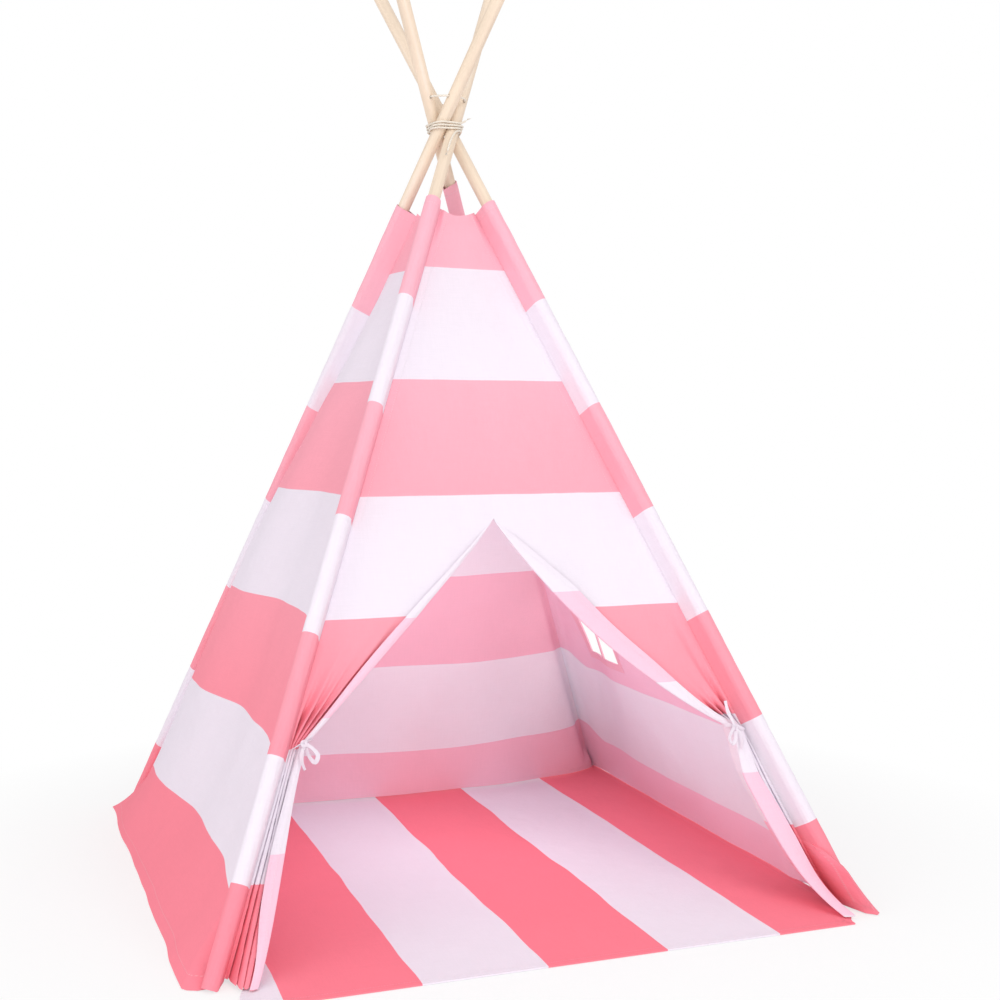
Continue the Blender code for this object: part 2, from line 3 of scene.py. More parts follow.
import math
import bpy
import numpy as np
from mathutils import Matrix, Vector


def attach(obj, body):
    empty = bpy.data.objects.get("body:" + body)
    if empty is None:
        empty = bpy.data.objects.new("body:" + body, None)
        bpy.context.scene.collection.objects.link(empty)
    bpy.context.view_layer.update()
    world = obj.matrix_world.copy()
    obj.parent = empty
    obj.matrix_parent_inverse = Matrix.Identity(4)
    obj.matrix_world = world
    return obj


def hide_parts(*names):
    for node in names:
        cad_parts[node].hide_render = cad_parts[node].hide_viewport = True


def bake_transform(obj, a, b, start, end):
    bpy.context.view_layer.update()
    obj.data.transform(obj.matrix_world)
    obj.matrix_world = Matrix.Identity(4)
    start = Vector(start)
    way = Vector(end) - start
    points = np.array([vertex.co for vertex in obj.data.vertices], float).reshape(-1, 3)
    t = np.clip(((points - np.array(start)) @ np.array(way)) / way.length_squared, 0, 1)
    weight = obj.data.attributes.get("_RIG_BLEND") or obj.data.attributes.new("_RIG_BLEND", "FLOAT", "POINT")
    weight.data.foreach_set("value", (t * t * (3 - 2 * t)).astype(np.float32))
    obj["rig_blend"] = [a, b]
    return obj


bl_info = {
    "name": "Kids Teepee",
    "version": (1, 0, 0),
    "blender": (4, 5, 0),
    "location": "View3D > Sidebar > Teepee",
    "description": "Dresses the frame of a striped play teepee in cloth, wood, twine and ribbon",
    "category": "Add Mesh",
}

import bmesh
import bpy
from mathutils import Matrix, Vector, noise

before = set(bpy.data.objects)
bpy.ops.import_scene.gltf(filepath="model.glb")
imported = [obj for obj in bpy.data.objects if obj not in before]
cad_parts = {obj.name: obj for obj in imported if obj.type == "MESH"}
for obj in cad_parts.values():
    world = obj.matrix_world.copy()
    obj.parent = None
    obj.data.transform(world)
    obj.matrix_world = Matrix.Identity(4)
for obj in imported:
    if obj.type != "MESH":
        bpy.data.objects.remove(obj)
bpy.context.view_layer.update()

LAID = "laid"
SEWN = "sewn"
FRONT_POLES = ("front_left", "front_right")
CORNERS = {
    "front_left": (-1, -1),
    "front_right": (1, -1),
    "back_left": (-1, 1),
    "back_right": (1, 1),
}
RING_ORDER = ("front_left", "front_right", "back_right", "back_left")
WELD = 0.00005
FAR_FROM_HEMS = 1.0


# ---------------------------------------------------------------- sizes and colours


def length(name, default, description):
    return bpy.props.FloatProperty(
        name=name, default=default, description=description, unit="LENGTH", precision=4
    )


def colour(name, default, description):
    return bpy.props.FloatVectorProperty(
        name=name, default=default, description=description, subtype="COLOR", min=0, max=1
    )


class TeepeeSizes(bpy.types.PropertyGroup):
    """The sizes that the cover, the poles and the trimmings share."""

    foot_spacing: length("Foot Spacing", 1.14, "Between the feet of two neighbouring poles")
    crossing_height: length("Crossing Height", 1.34, "Height of the twine over the floor")
    pole_length: length("Pole Length", 1.90, "Length of one pole")
    pole_radius: length("Pole Radius", 0.011, "Radius of one pole")
    tent_back: length("Tent Back", 0.0386, "How far behind the middle of the mat the tent stands")
    swirl: length("Swirl", 0.01767, "How far each pole passes beside the middle of the crossing")
    sleeve_radius: length("Sleeve Radius", 0.0128, "Radius of the sleeve round a pole")
    sleeve_reach: length("Sleeve Reach", 0.030, "From the middle of a pole to its sleeve's seam")
    sleeve_wall: length("Sleeve Wall", 0.0009, "Thickness of the sleeve's cloth")
    sleeve_sole: length("Sleeve Sole", 0.004, "Cloth under the foot of a pole")
    sleeve_top: length("Sleeve Top", 0.150, "From the crossing down to the sleeves")
    long_sleeve_top: length("Long Sleeve Top", 0.095, "The same for the sleeve at the back right")
    cloth: length("Cloth", 0.0013, "Thickness of the cover's cloth")
    seam_start: length("Seam Start", 0.0002, "From a sleeve's seam to the edge of a wall")
    stripe: length("Stripe Width", 0.2097, "Width of one stripe")
    wall_stripe: length("Wall Stripe", 0.2624, "From the crossing down to the walls' first white")
    sleeve_stripe: length("Sleeve Stripe", 0.3481, "The same on the sleeves")
    mat_stripe: length("Mat Stripe", -0.262, "Where the mat's white stripe starts, across the mat")
    cover_top: length("Cover Top", 0.140, "From the crossing down to the walls")
    cover_dip: length("Cover Dip", 0.010, "How far the top edge dips between two poles")
    hem_clearance: length("Hem Clearance", 0.0012, "Height of the hems over the floor")
    side_slack: length("Side Slack", 0.010, "How far the side walls belly out all over")
    left_belly: length("Left Belly", 0.044, "How far the left wall bellies out at the back")
    right_belly: length("Right Belly", 0.022, "The same on the right wall")
    left_spread: length("Left Spread", 0.082, "How far the left wall's hem spreads over the floor")
    right_spread: length("Right Spread", 0.092, "The same at the front of the right wall")
    back_sag: length("Back Sag", 0.150, "How far the back wall hangs inwards")
    back_lift: length("Back Lift", 0.0071, "How far the back hem lies over the mat")
    door_top: length("Door Top", 0.672, "Height of the door's peak")
    left_tie: length("Left Tie", 0.335, "Height of the left tie-back ribbon")
    right_tie: length("Right Tie", 0.307, "Height of the right tie-back ribbon")
    tie_bunch: length("Tie Bunch", 0.022, "Width of the drawn-in cloth at a ribbon")
    mat_width: length("Mat Width", 1.07, "Width of the floor mat")
    mat_depth: length("Mat Depth", 1.16, "Depth of the floor mat")
    mat_thickness: length("Mat Thickness", 0.003, "Thickness of the floor mat")
    mat_overhang: length("Mat Overhang", 0.09, "How far the mat comes out in front of the feet")
    twine_radius: length("Twine Radius", 0.0017, "Radius of the twine")


class TeepeeColours(bpy.types.PropertyGroup):
    """The colours of the cloth, the wood, the twine and the metal."""

    # The cover's colours are paler than the side walls' for the stronger light on the front: painted light.
    pink: colour("Pink", (0.95, 0.285, 0.355), "Pink stripes of the cover, near the floor")
    # Painted light: the pink pales towards the top for the stronger light there, not by fading.
    top_pink_painted_light: colour("Top Pink", (0.94, 0.47, 0.56), "The same near the top, where they have faded")
    white: colour("White", (0.87, 0.80, 0.88), "White stripes of the cover")
    pale_pink: colour("Pale Pink", (0.94, 0.54, 0.64), "Wrong side of the pink stripes")
    pale_white: colour("Pale White", (0.89, 0.84, 0.90), "Wrong side of the white stripes")
    # The side walls' colours are a shaded copy of the cover's, a deeper pink and a greyer white: painted
    # shade.
    side_pink: colour(
        "Side Pink", (0.97, 0.265, 0.335), "Pink stripes of the side walls, near the floor"
    )
    # Painted light: the side walls' pink also pales towards the top.
    side_top_pink_painted_light: colour("Side Top Pink", (0.95, 0.43, 0.52), "The same near the top")
    side_white: colour("Side White", (0.85, 0.775, 0.86), "White stripes of the side walls")
    # The side walls' wrong side is paler and cooler than the cover's, for the light that comes through the
    # cloth: painted light.
    inner_pink: colour(
        "Inner Pink", (0.94, 0.63, 0.76), "Wrong side of the side walls' pink stripes"
    )
    inner_white: colour(
        "Inner White", (0.88, 0.90, 0.97), "Wrong side of the side walls' white stripes"
    )
    # Painted light: a lighter copy of the wrong side's pink, for the full light on the turned-back margins.
    lapel_pink_painted_light: colour(
        "Lapel Pink", (0.93, 0.61, 0.74), "Pink stripes of the door's turned-back margins"
    )
    mat_pink: colour("Mat Pink", (0.98, 0.235, 0.30), "Pink stripes of the mat")
    wood: colour("Wood", (0.86, 0.71, 0.56), "Bare wood of the poles")
    twine: colour("Twine", (0.90, 0.80, 0.66), "Natural cotton twine")
    metal: colour("Metal", (0.72, 0.73, 0.75), "Metal of the ferrules")
    floor: colour("Floor", (0.95, 0.95, 0.95), "Studio floor")


def sizes():
    return bpy.context.scene.teepee_sizes


def colours():
    return bpy.context.scene.teepee_colours


# ---------------------------------------------------------------- the lines that the cloth hangs on


class Pole:
    """The straight line of one pole, from its foot on the floor past the crossing."""

    def __init__(self, name):
        s = sizes()
        side, depth = CORNERS[name]
        half = s.foot_spacing / 2
        lashing = Vector((0, s.tent_back, s.crossing_height))
        outward = Vector((side, depth, 0)).normalized()
        self.name = name
        self.foot = Vector((side * half, s.tent_back + depth * half, 0))
        self.crossing = lashing + Vector((-outward.y, outward.x, 0)) * s.swirl
        self.axis = (self.crossing - self.foot).normalized()
        self.inward = (-outward + outward.dot(self.axis) * self.axis).normalized()
        self.across = self.axis.cross(self.inward)
        self.below = (self.crossing - self.foot).length
        lean = math.sqrt(1 - self.axis.z**2)
        self.start = (s.sleeve_sole + s.pole_radius * lean) / self.axis.z
        turn = Matrix((self.inward, self.across, self.axis)).transposed()
        self.place = Matrix.Translation(self.foot) @ turn.to_4x4()

    def at_height(self, z):
        return self.foot + self.axis * (z / self.axis.z)

    def station(self, point):
        """How far along the pole a point is, from its foot."""
        return (point - self.foot).dot(self.axis)

    def seam(self, z):
        """The sleeve's seam at this height, where two walls meet."""
        start = self.foot + self.inward * sizes().sleeve_reach
        return start + self.axis * ((z - start.z) / self.axis.z)

    @property
    def body(self):
        return "front_frame" if self.name in FRONT_POLES else "back_frame"


class Wall:
    """A face of the tent between two poles' seams; u runs from the first pole to the second."""

    def __init__(self, first, second):
        self.first, self.second = Pole(first), Pole(second)
        across = self.second.foot - self.first.foot
        up = self.first.axis + self.second.axis
        self.normal = across.cross(up).normalized()
        self.level = Vector((self.normal.x, self.normal.y, 0)).normalized()
        self.slope = 1 / math.hypot(self.normal.x, self.normal.y)

    def span(self, z):
        """The two ends of the cloth at this height, clear of both seams."""
        a, b = self.first.seam(z), self.second.seam(z)
        inset = (b - a).normalized() * sizes().seam_start
        return a + inset, b - inset

    def at(self, u, z, outward=0.0):
        a, b = self.span(z)
        return a.lerp(b, u) + self.level * outward

    def at_x(self, x, z, outward=0.0):
        a, b = self.span(z)
        return self.at((x - a.x) / (b.x - a.x), z, outward)

    def width(self, z):
        a, b = self.span(z)
        return (b - a).length

    def outward(self, point):
        return self.normal

    def down(self, z):
        """How far down the slope this height is, from the crossing."""
        return (sizes().crossing_height - z) * self.slope


def cover_top(u):
    """Height of the cover's top edge, which dips between the sleeves."""
    s = sizes()
    return s.crossing_height - s.cover_top - s.cover_dip * math.sin(math.pi * u)


def fall_share(z):
    """0 at the top of the cover, 1 at the floor."""
    s = sizes()
    return min(max(1 - z / (s.crossing_height - s.cover_top), 0), 1)


def smooth(t):
    t = min(max(t, 0), 1)
    return t * t * (3 - 2 * t)


def crown(u, z):
    """How far the tops of the front and the back wall stand out, to clear each other folded."""
    s = sizes()
    high, depth, onset = 0.007, 0.08, 0.06
    near_top = smooth((z - s.crossing_height + s.cover_top + depth) / onset)
    return high * near_top * smooth(min(u, 1 - u) / 0.12)


def crumple(point, scale, seed=0.0):
    """Soft noise from -1 to 1 with lumps of about this size."""
    return noise.noise(point / scale + Vector((seed, seed * 0.7, seed * 1.3)))


# ---------------------------------------------------------------- cloth


def select_only(obj):
    bpy.ops.object.select_all(action="DESELECT")
    obj.select_set(True)
    bpy.context.view_layer.objects.active = obj


def object_from(name, bm):
    mesh = bpy.data.meshes.new(name)
    bm.to_mesh(mesh)
    bm.free()
    obj = bpy.data.objects.new(name, mesh)
    bpy.context.scene.collection.objects.link(obj)
    return obj


def apply_modifier(obj, kind, **settings):
    select_only(obj)
    modifier = obj.modifiers.new(kind.title(), kind)
    for key, value in settings.items():
        setattr(modifier, key, value)
    bpy.ops.object.modifier_apply(modifier=modifier.name)


def smooth_shade(obj, degrees=50):
    """Smooth shading over every edge that is less sharp than this."""
    select_only(obj)
    bpy.ops.object.shade_smooth_by_angle(angle=math.radians(degrees))


def woven_sheet(name, columns, rows, place, lay, sew, outward, closed=False):
    """A sheet of quads with its flat layout and its distance from the sewn edges as UV maps."""
    bm = bmesh.new()
    laid, sewn = bm.loops.layers.uv.new(LAID), bm.loops.layers.uv.new(SEWN)
    spots = [[(i / columns, j / rows) for i in range(columns + 1)] for j in range(rows + 1)]
    width = columns if closed else columns + 1
    points = [[bm.verts.new(place(*spots[j][i])) for i in range(width)] for j in range(rows + 1)]
    quads = []
    for j in range(rows):
        for i in range(columns):
            corners = [(i, j), (i + 1, j), (i + 1, j + 1), (i, j + 1)]
            face = bm.faces.new([points[b][a % width] for a, b in corners])
            quads.append(face)
            for loop, (a, b) in zip(face.loops, corners):
                u, v = spots[b][a]
                loop[laid].uv = lay(u, v, loop.vert.co)
                loop[sewn].uv = sew(u, v, loop.vert.co)
    bm.normal_update()
    facing = sum((f.normal * f.calc_area()).dot(outward(f.calc_center_median())) for f in quads)
    if facing < 0:
        bmesh.ops.reverse_faces(bm, faces=bm.faces)
    bmesh.ops.remove_doubles(bm, verts=bm.verts, dist=WELD)
    return object_from(name, bm)


def thicken(obj, finishes, thickness=None, offset=0.0):
    """Gives the sheet its thickness; the second finish goes on the wrong side."""
    for finish in finishes:
        obj.data.materials.append(finish)
    apply_modifier(
        obj,
        "SOLIDIFY",
        thickness=thickness or sizes().cloth,
        offset=offset,
        material_offset=len(finishes) - 1,
        material_offset_rim=0,
    )


def wall_lay(wall, droop):
    """Flat layout of a wall: across from its middle, and down from its first white stripe."""

    def lay(u, v, point):
        down = wall.down(point.z) - droop(u, point.z)
        return ((u - 0.5) * wall.width(point.z), down - sizes().wall_stripe)

    return lay


def wall_sew(wall, hem_z):
    """The way along the nearest of the wall's seams and its hem, and the distance from it."""

    def sew(u, v, point):
        side = min(u, 1 - u) * wall.width(point.z)
        hem = (point.z - hem_z) * wall.slope
        if hem < side:
            return (u * wall.width(point.z), hem)
        return (wall.down(point.z), side)

    return sew


def trapezoid(wall, top, bottom, share=1.0):
    """Flat width, length and area of a wall, or a share of it, between two heights."""
    upper, lower = wall.width(top) * share, wall.width(bottom) * share
    run = (top - bottom) * wall.slope
    return (lower, run), (upper + lower) / 2 * run


# ---------------------------------------------------------------- finishes


class Wire:
    """A socket; sums and products with it add Math nodes."""

    def __init__(self, finish, socket):
        self.finish, self.socket = finish, socket

    def math(self, operation, *others, clamp=False):
        inputs = dict(enumerate([self, *others]))
        return self.finish.node("Math", {"operation": operation, "use_clamp": clamp}, inputs)

    def __add__(self, other):
        return self.math("ADD", other)

    def __mul__(self, other):
        return self.math("MULTIPLY", other)

    def __sub__(self, other):
        return self.math("SUBTRACT", other)

    def __rsub__(self, other):
        return self.math("MULTIPLY", -1.0).math("ADD", other)

    def __lt__(self, other):
        return self.math("LESS_THAN", other)

    __radd__, __rmul__ = __add__, __mul__

    def sine(self):
        return self.math("SINE")

    def size(self):
        return self.math("ABSOLUTE")

    def clamped(self):
        return self.math("ADD", 0.0, clamp=True)


def socket_name(words):
    """base_color to Base Color, specular_ior_level to Specular IOR Level."""
    return words.replace("_", " ").title().replace("Ior", "IOR")


class Nodes:
    """The node tree of a material or a world, built node by node."""

    def __init__(self, owner):
        owner.use_nodes = True
        self.tree = owner.node_tree

    def found(self, kind):
        """The node of this type that the tree came with."""
        return next(n for n in self.tree.nodes if n.type == kind)

    def node(self, kind, settings, inputs, output=0):
        """A node of this kind, its settings set first, then its sockets' values or links."""
        added = self.tree.nodes.new("ShaderNode" + kind)
        for key, value in settings.items():
            if key == "stops":
                self.set_stops(added.color_ramp, value)
            else:
                setattr(added, key, value)
        for key, value in inputs.items():
            self.feed(added.inputs[key], value)
        return Wire(self, added.outputs[output])

    @staticmethod
    def set_stops(ramp, stops):
        while len(ramp.elements) < len(stops):
            ramp.elements.new(0.5)
        for element, (position, tint) in zip(ramp.elements, stops):
            element.position, element.color = position, tint

    def feed(self, socket, value):
        if isinstance(value, Wire):
            self.tree.links.new(value.socket, socket)
        elif hasattr(value, "__len__") and len(value) == 3 and socket.type == "RGBA":
            socket.default_value = (*value, 1)
        else:
            socket.default_value = value

    def light_path(self, *rays):
        """One wire for each of these kinds of ray, 1 where such a ray meets the surface."""
        path = self.node("LightPath", {}, {}).socket.node
        return [Wire(self, path.outputs[f"Is {ray} Ray"]) for ray in rays]

    def mix_shaders(self, share, first, second):
        return self.node("MixShader", {}, {0: share, 1: first, 2: second})


class Finish(Nodes):
    """A material built round one Principled shader."""

    def __init__(self, name, **fixed):
        self.material = bpy.data.materials.new(name)
        super().__init__(self.material)
        self.shader = self.found("BSDF_PRINCIPLED")
        for key, value in fixed.items():
            self.shader.inputs[socket_name(key)].default_value = value

    def blend(self, share, first, second, kind="MIX"):
        """Two colours mixed by a share."""
        settings = {"data_type": "RGBA", "blend_type": kind}
        return self.node("Mix", settings, {0: share, 6: first, 7: second}, 2)

    def noise(self, vector, scale, detail=2.0, roughness=0.5):
        inputs = {"Vector": vector, "Scale": scale, "Detail": detail, "Roughness": roughness}
        return self.node("TexNoise", {}, inputs)

    def stretched(self, vector, x, y, z):
        return self.node("VectorMath", {"operation": "MULTIPLY"}, {0: vector, 1: (x, y, z)})

    def split(self, vector):
        parts = self.node("SeparateXYZ", {}, {0: vector}).socket.node
        return [Wire(self, output) for output in parts.outputs]

    def uv(self, name):
        return self.node("UVMap", {"uv_map": name}, {})

    def place(self):
        return self.node("TexCoord", {}, {}, 3)

    def bump(self, height, strength, distance, below=None):
        inputs = {"Height": height, "Strength": strength, "Distance": distance}
        if below is not None:
            inputs["Normal"] = below
        return self.node("Bump", {}, inputs)

    def wear(self, **sockets):
        for key, value in sockets.items():
            self.feed(self.shader.inputs[socket_name(key)], value)
        return self.material


# Of the cotton: the spacing of its threads, and its hems' width, line of stitches and stitch
THREAD = 0.0011
HEM_WIDTH = 0.016
STITCH_LINE = 0.0135
STITCH_PITCH = 0.0042
STITCH_RADIUS = 0.0005
STITCH_TINT = (0.93, 0.88, 0.91)


def cotton(name, white, pink=None, top_pink_painted_light=None):
    """Plain-woven cotton: threads, slubs, soft creases, stripes and the stitching of its hems."""
    finish = Finish(name, specular_ior_level=0.05)
    laid = finish.uv(LAID)
    across, down, _ = finish.split(laid)
    tint = white
    if pink is not None:
        tint = striped(finish, laid, down, white, pink, top_pink_painted_light)
    slubs = finish.noise(finish.stretched(laid, 420, 26, 1), 1.0, 2.0)
    slubs_down = finish.noise(finish.stretched(laid, 26, 420, 1), 1.0, 2.0)
    cloudy = finish.noise(laid, 5.0, 4.0, 0.6)
    shade = 0.93 + slubs * 0.045 + slubs_down * 0.045 + cloudy * 0.05
    grey = finish.node("CombineColor", {}, {0: shade, 1: shade, 2: shade})
    tint = finish.blend(1.0, tint, grey, "MULTIPLY")
    weave = (across * (math.tau / THREAD)).sine() * (down * (math.tau / THREAD)).sine()
    height = finish.bump(finish.noise(laid, 16.0, 6.0, 0.62), 0.35, 0.006)
    height = finish.bump(weave * 0.5 + slubs * 0.6 + slubs_down * 0.6, 0.22, 0.0004, height)

    sewn = finish.uv(SEWN)
    along, off, _ = finish.split(sewn)
    dash = ((along * (math.tau / STITCH_PITCH)).sine() * 4.0 + 1.2).clamped()
    stitch = (0.5 - ((off - STITCH_LINE).size() - STITCH_RADIUS) * 2500.0).clamped() * dash
    pucker = finish.noise(finish.stretched(sewn, 130, 8, 1), 1.0, 2.0)
    pucker = pucker * (1.0 - off * 30.0).clamped() * 2.0
    height = finish.bump((off < HEM_WIDTH) * 0.8 + pucker, 0.5, 0.0009, height)
    height = finish.bump(stitch, 0.6, 0.0006, height)
    tint = finish.blend(stitch * 0.22, tint, STITCH_TINT)
    return finish.wear(base_color=tint, roughness=0.78 + cloudy * 0.18, normal=height)


def striped(finish, laid, down, white, pink, top_pink_painted_light):
    """White and pink stripes with slightly wavering edges; the pink pales towards the top, painted light."""
    waver = finish.noise(finish.stretched(laid, 14, 3, 1), 1.0, 3.0) * 0.0022
    wave = ((down + waver - 0.0011) * (math.pi / sizes().stripe)).sine()
    if top_pink_painted_light is not None:
        # Painted light: the pink pales with height into the top pink.
        height = finish.split(finish.place())[2]
        pink = finish.blend((height * 1.15 - 0.15).clamped(), pink, top_pink_painted_light)
    return finish.blend((0.5 - wave * 90.0).clamped(), white, pink)


def cotton_once(name, *look):
    """The cotton of this name, made the first time that it is asked for."""
    return bpy.data.materials.get(name) or cotton(name, *look)


def darker(tint, share):
    return tuple(Vector(tint) * share)


def lighter(tint, share):
    return tuple(Vector(tint).lerp(Vector((1, 1, 1)), share))


def pole_wood(pole):
    """Pale turned softwood, its grain along the pole."""
    finish = Finish(f"wood_{pole.name}", specular_ior_level=0.35)
    here = finish.place()
    axis = tuple(pole.axis)
    along = finish.node("VectorMath", {"operation": "DOT_PRODUCT"}, {0: here, 1: axis}, 1)
    back = finish.node("VectorMath", {"operation": "SCALE"}, {0: axis, 3: along * -0.965})
    drawn = finish.node("VectorMath", {"operation": "ADD"}, {0: here, 1: back})
    grain = finish.noise(drawn, 420.0, 4.0, 0.6)
    bands = finish.noise(drawn, 95.0, 2.0, 0.5)
    patches = finish.noise(here, 9.0, 2.0)
    wood = colours().wood
    dark, light = darker(wood, 0.86), lighter(wood, 0.28)
    stops = ((0.30, (*dark, 1)), (0.52, (*wood, 1)), (0.75, (*light, 1)))
    tint = finish.node("ValToRGB", {"stops": stops}, {0: bands * 0.7 + patches * 0.3})
    tint = finish.blend((grain * 2.2 - 0.95).clamped() * 0.30, tint, dark)
    normal = finish.bump(grain, 0.25, 0.0006)
    return finish.wear(base_color=tint, roughness=0.48 + grain * 0.2, normal=normal)


def brushed_metal():
    """Drawn metal, rubbed along its length."""
    finish = Finish("ferrule_metal", metallic=1.0)
    here = finish.place()
    rub = finish.noise(finish.stretched(here, 300, 300, 40), 1.0, 3.0)
    tint = finish.blend(rub, colours().metal, darker(colours().metal, 0.82))
    normal = finish.bump(rub, 0.1, 0.0004)
    return finish.wear(base_color=tint, roughness=0.28 + rub * 0.2, normal=normal)


def laid_twine():
    """Cotton twine: three strands that wind round each other, with a little fluff."""
    finish = Finish("twine", specular_ior_level=0.15, sheen_weight=0.2)
    laid = finish.uv(LAID)
    along, around, _ = finish.split(laid)
    lay_length, strand_count = 0.0052, 3
    strands = (along * (math.tau / lay_length) + around * (strand_count * math.tau)).sine()
    fluff = finish.noise(finish.stretched(laid, 900, 6, 1), 1.0, 3.0)
    dark, light = darker(colours().twine, 0.84), lighter(colours().twine, 0.35)
    # Painted shade and light: darker in the grooves between the strands, lighter on their crests, following
    # the strands' bump.
    tint = finish.blend((strands * 0.4 + 0.35 + fluff * 0.4).clamped(), dark, light)
    normal = finish.bump(strands + fluff * 0.5, 0.5, 0.0006)
    return finish.wear(base_color=tint, roughness=0.85 + fluff * 0.1, normal=normal)


def cover_finishes():
    """The right and the wrong side of the striped cotton, in colours paler than the side walls' for the
    stronger light on the front: painted light.
    """
    c = colours()
    right = cotton_once("cover_right_side", c.white, c.pink, c.top_pink_painted_light)
    return [right, cotton_once("cover_wrong_side", c.pale_white, c.pale_pink)]


def side_finishes():
    """The same for the side walls, in a second copy of the colours: a deeper pink and a greyer white on the
    right side, painted shade, and a paler wrong side for the light through the cloth, painted light.
    """
    c = colours()
    right = cotton_once("wall_right_side", c.side_white, c.side_pink, c.side_top_pink_painted_light)
    return [right, cotton_once("wall_wrong_side", c.inner_white, c.inner_pink)]


# ---------------------------------------------------------------- poles


# Of the poles: the step and the length of the spigot that a ferrule takes, the rounding of the
# tips, and the holes for the upper twine with their height over the crossing
SPIGOT_STEP = 0.0013
SPIGOT_LENGTH = 0.0403
TIP_ROUNDING = 0.003
HOLE_RADIUS = 0.0028
HOLE_HEIGHT = 0.047
CUTTER_LENGTH = 0.05
SECTION_GAP = 0.0003


class TEEPEE_OT_poles(bpy.types.Operator):
    """Turn the poles' upper sections with rounded tips and holes, and finish the wood and metal"""

    bl_idname = "teepee.poles"
    bl_label = "Poles"

    def execute(self, context):
        metal = brushed_metal()
        for name in CORNERS:
            pole = Pole(name)
            wood = pole_wood(pole)
            for part in ("lower", "middle", "upper"):
                dress(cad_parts[f"{name}_pole_{part}"], wood)
            for part in ("lower", "upper"):
                dress(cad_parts[f"{name}_ferrule_{part}"], metal)
            self.upper_section(pole, wood)
        return {"FINISHED"}

    def upper_section(self, pole, wood):
        s = sizes()
        high = pole.start + s.pole_length
        shoulder = high - s.pole_length / 3 + SECTION_GAP + SPIGOT_LENGTH
        middle = pole.foot + pole.axis * ((shoulder + high) / 2)
        turn = pole.place.to_euler()
        bpy.ops.object.select_all(action="DESELECT")
        bpy.ops.mesh.primitive_cylinder_add(
            vertices=48, radius=s.pole_radius, depth=high - shoulder, location=middle, rotation=turn
        )
        obj = bpy.context.active_object
        obj.name = obj.data.name = f"{pole.name}_pole_tip"
        bpy.ops.object.transform_apply()
        bpy.ops.object.mode_set(mode="EDIT")
        self.pick_cap(obj, pole, high)
        bpy.ops.mesh.bevel(offset=TIP_ROUNDING, segments=4, affect="EDGES")
        self.pick_cap(obj, pole, shoulder)
        bpy.ops.mesh.inset(thickness=SPIGOT_STEP)
        spigot = {"value": -pole.axis * SPIGOT_LENGTH}
        bpy.ops.mesh.extrude_region_move(TRANSFORM_OT_translate=spigot)
        bpy.ops.object.mode_set(mode="OBJECT")
        self.drill(obj, pole)
        smooth_shade(obj, 40)
        obj.data.materials.append(wood)
        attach(obj, pole.body)
        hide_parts(f"{pole.name}_pole_upper")

    @staticmethod
    def pick_cap(obj, pole, station):
        """Selects the flat face that closes the wood at this distance along the pole."""
        bpy.ops.mesh.select_all(action="DESELECT")
        bm = bmesh.from_edit_mesh(obj.data)
        for face in bm.faces:
            near = abs(pole.station(face.calc_center_median()) - station) < 0.0005
            face.select = near and abs(face.normal.dot(pole.axis)) > 0.9
        bmesh.update_edit_mesh(obj.data)

    @staticmethod
    def drill(obj, pole):
        """The hole above the crossing that the upper twine runs through."""
        centre, direction = ring_pass(pole)
        turn = direction.to_track_quat("Z", "Y").to_euler()
        bpy.ops.object.select_all(action="DESELECT")
        bpy.ops.mesh.primitive_cylinder_add(
            vertices=20, radius=HOLE_RADIUS, depth=CUTTER_LENGTH, location=centre, rotation=turn
        )
        cutter = bpy.context.active_object
        apply_modifier(obj, "BOOLEAN", operation="DIFFERENCE", object=cutter, solver="EXACT")
        bpy.data.objects.remove(cutter)


def dress(node, finish):
    """Gives a CAD node its finish."""
    if not node.data.materials:
        node.data.materials.append(finish)
    for index in range(len(node.data.materials)):
        node.data.materials[index] = finish


# ---------------------------------------------------------------- sleeves


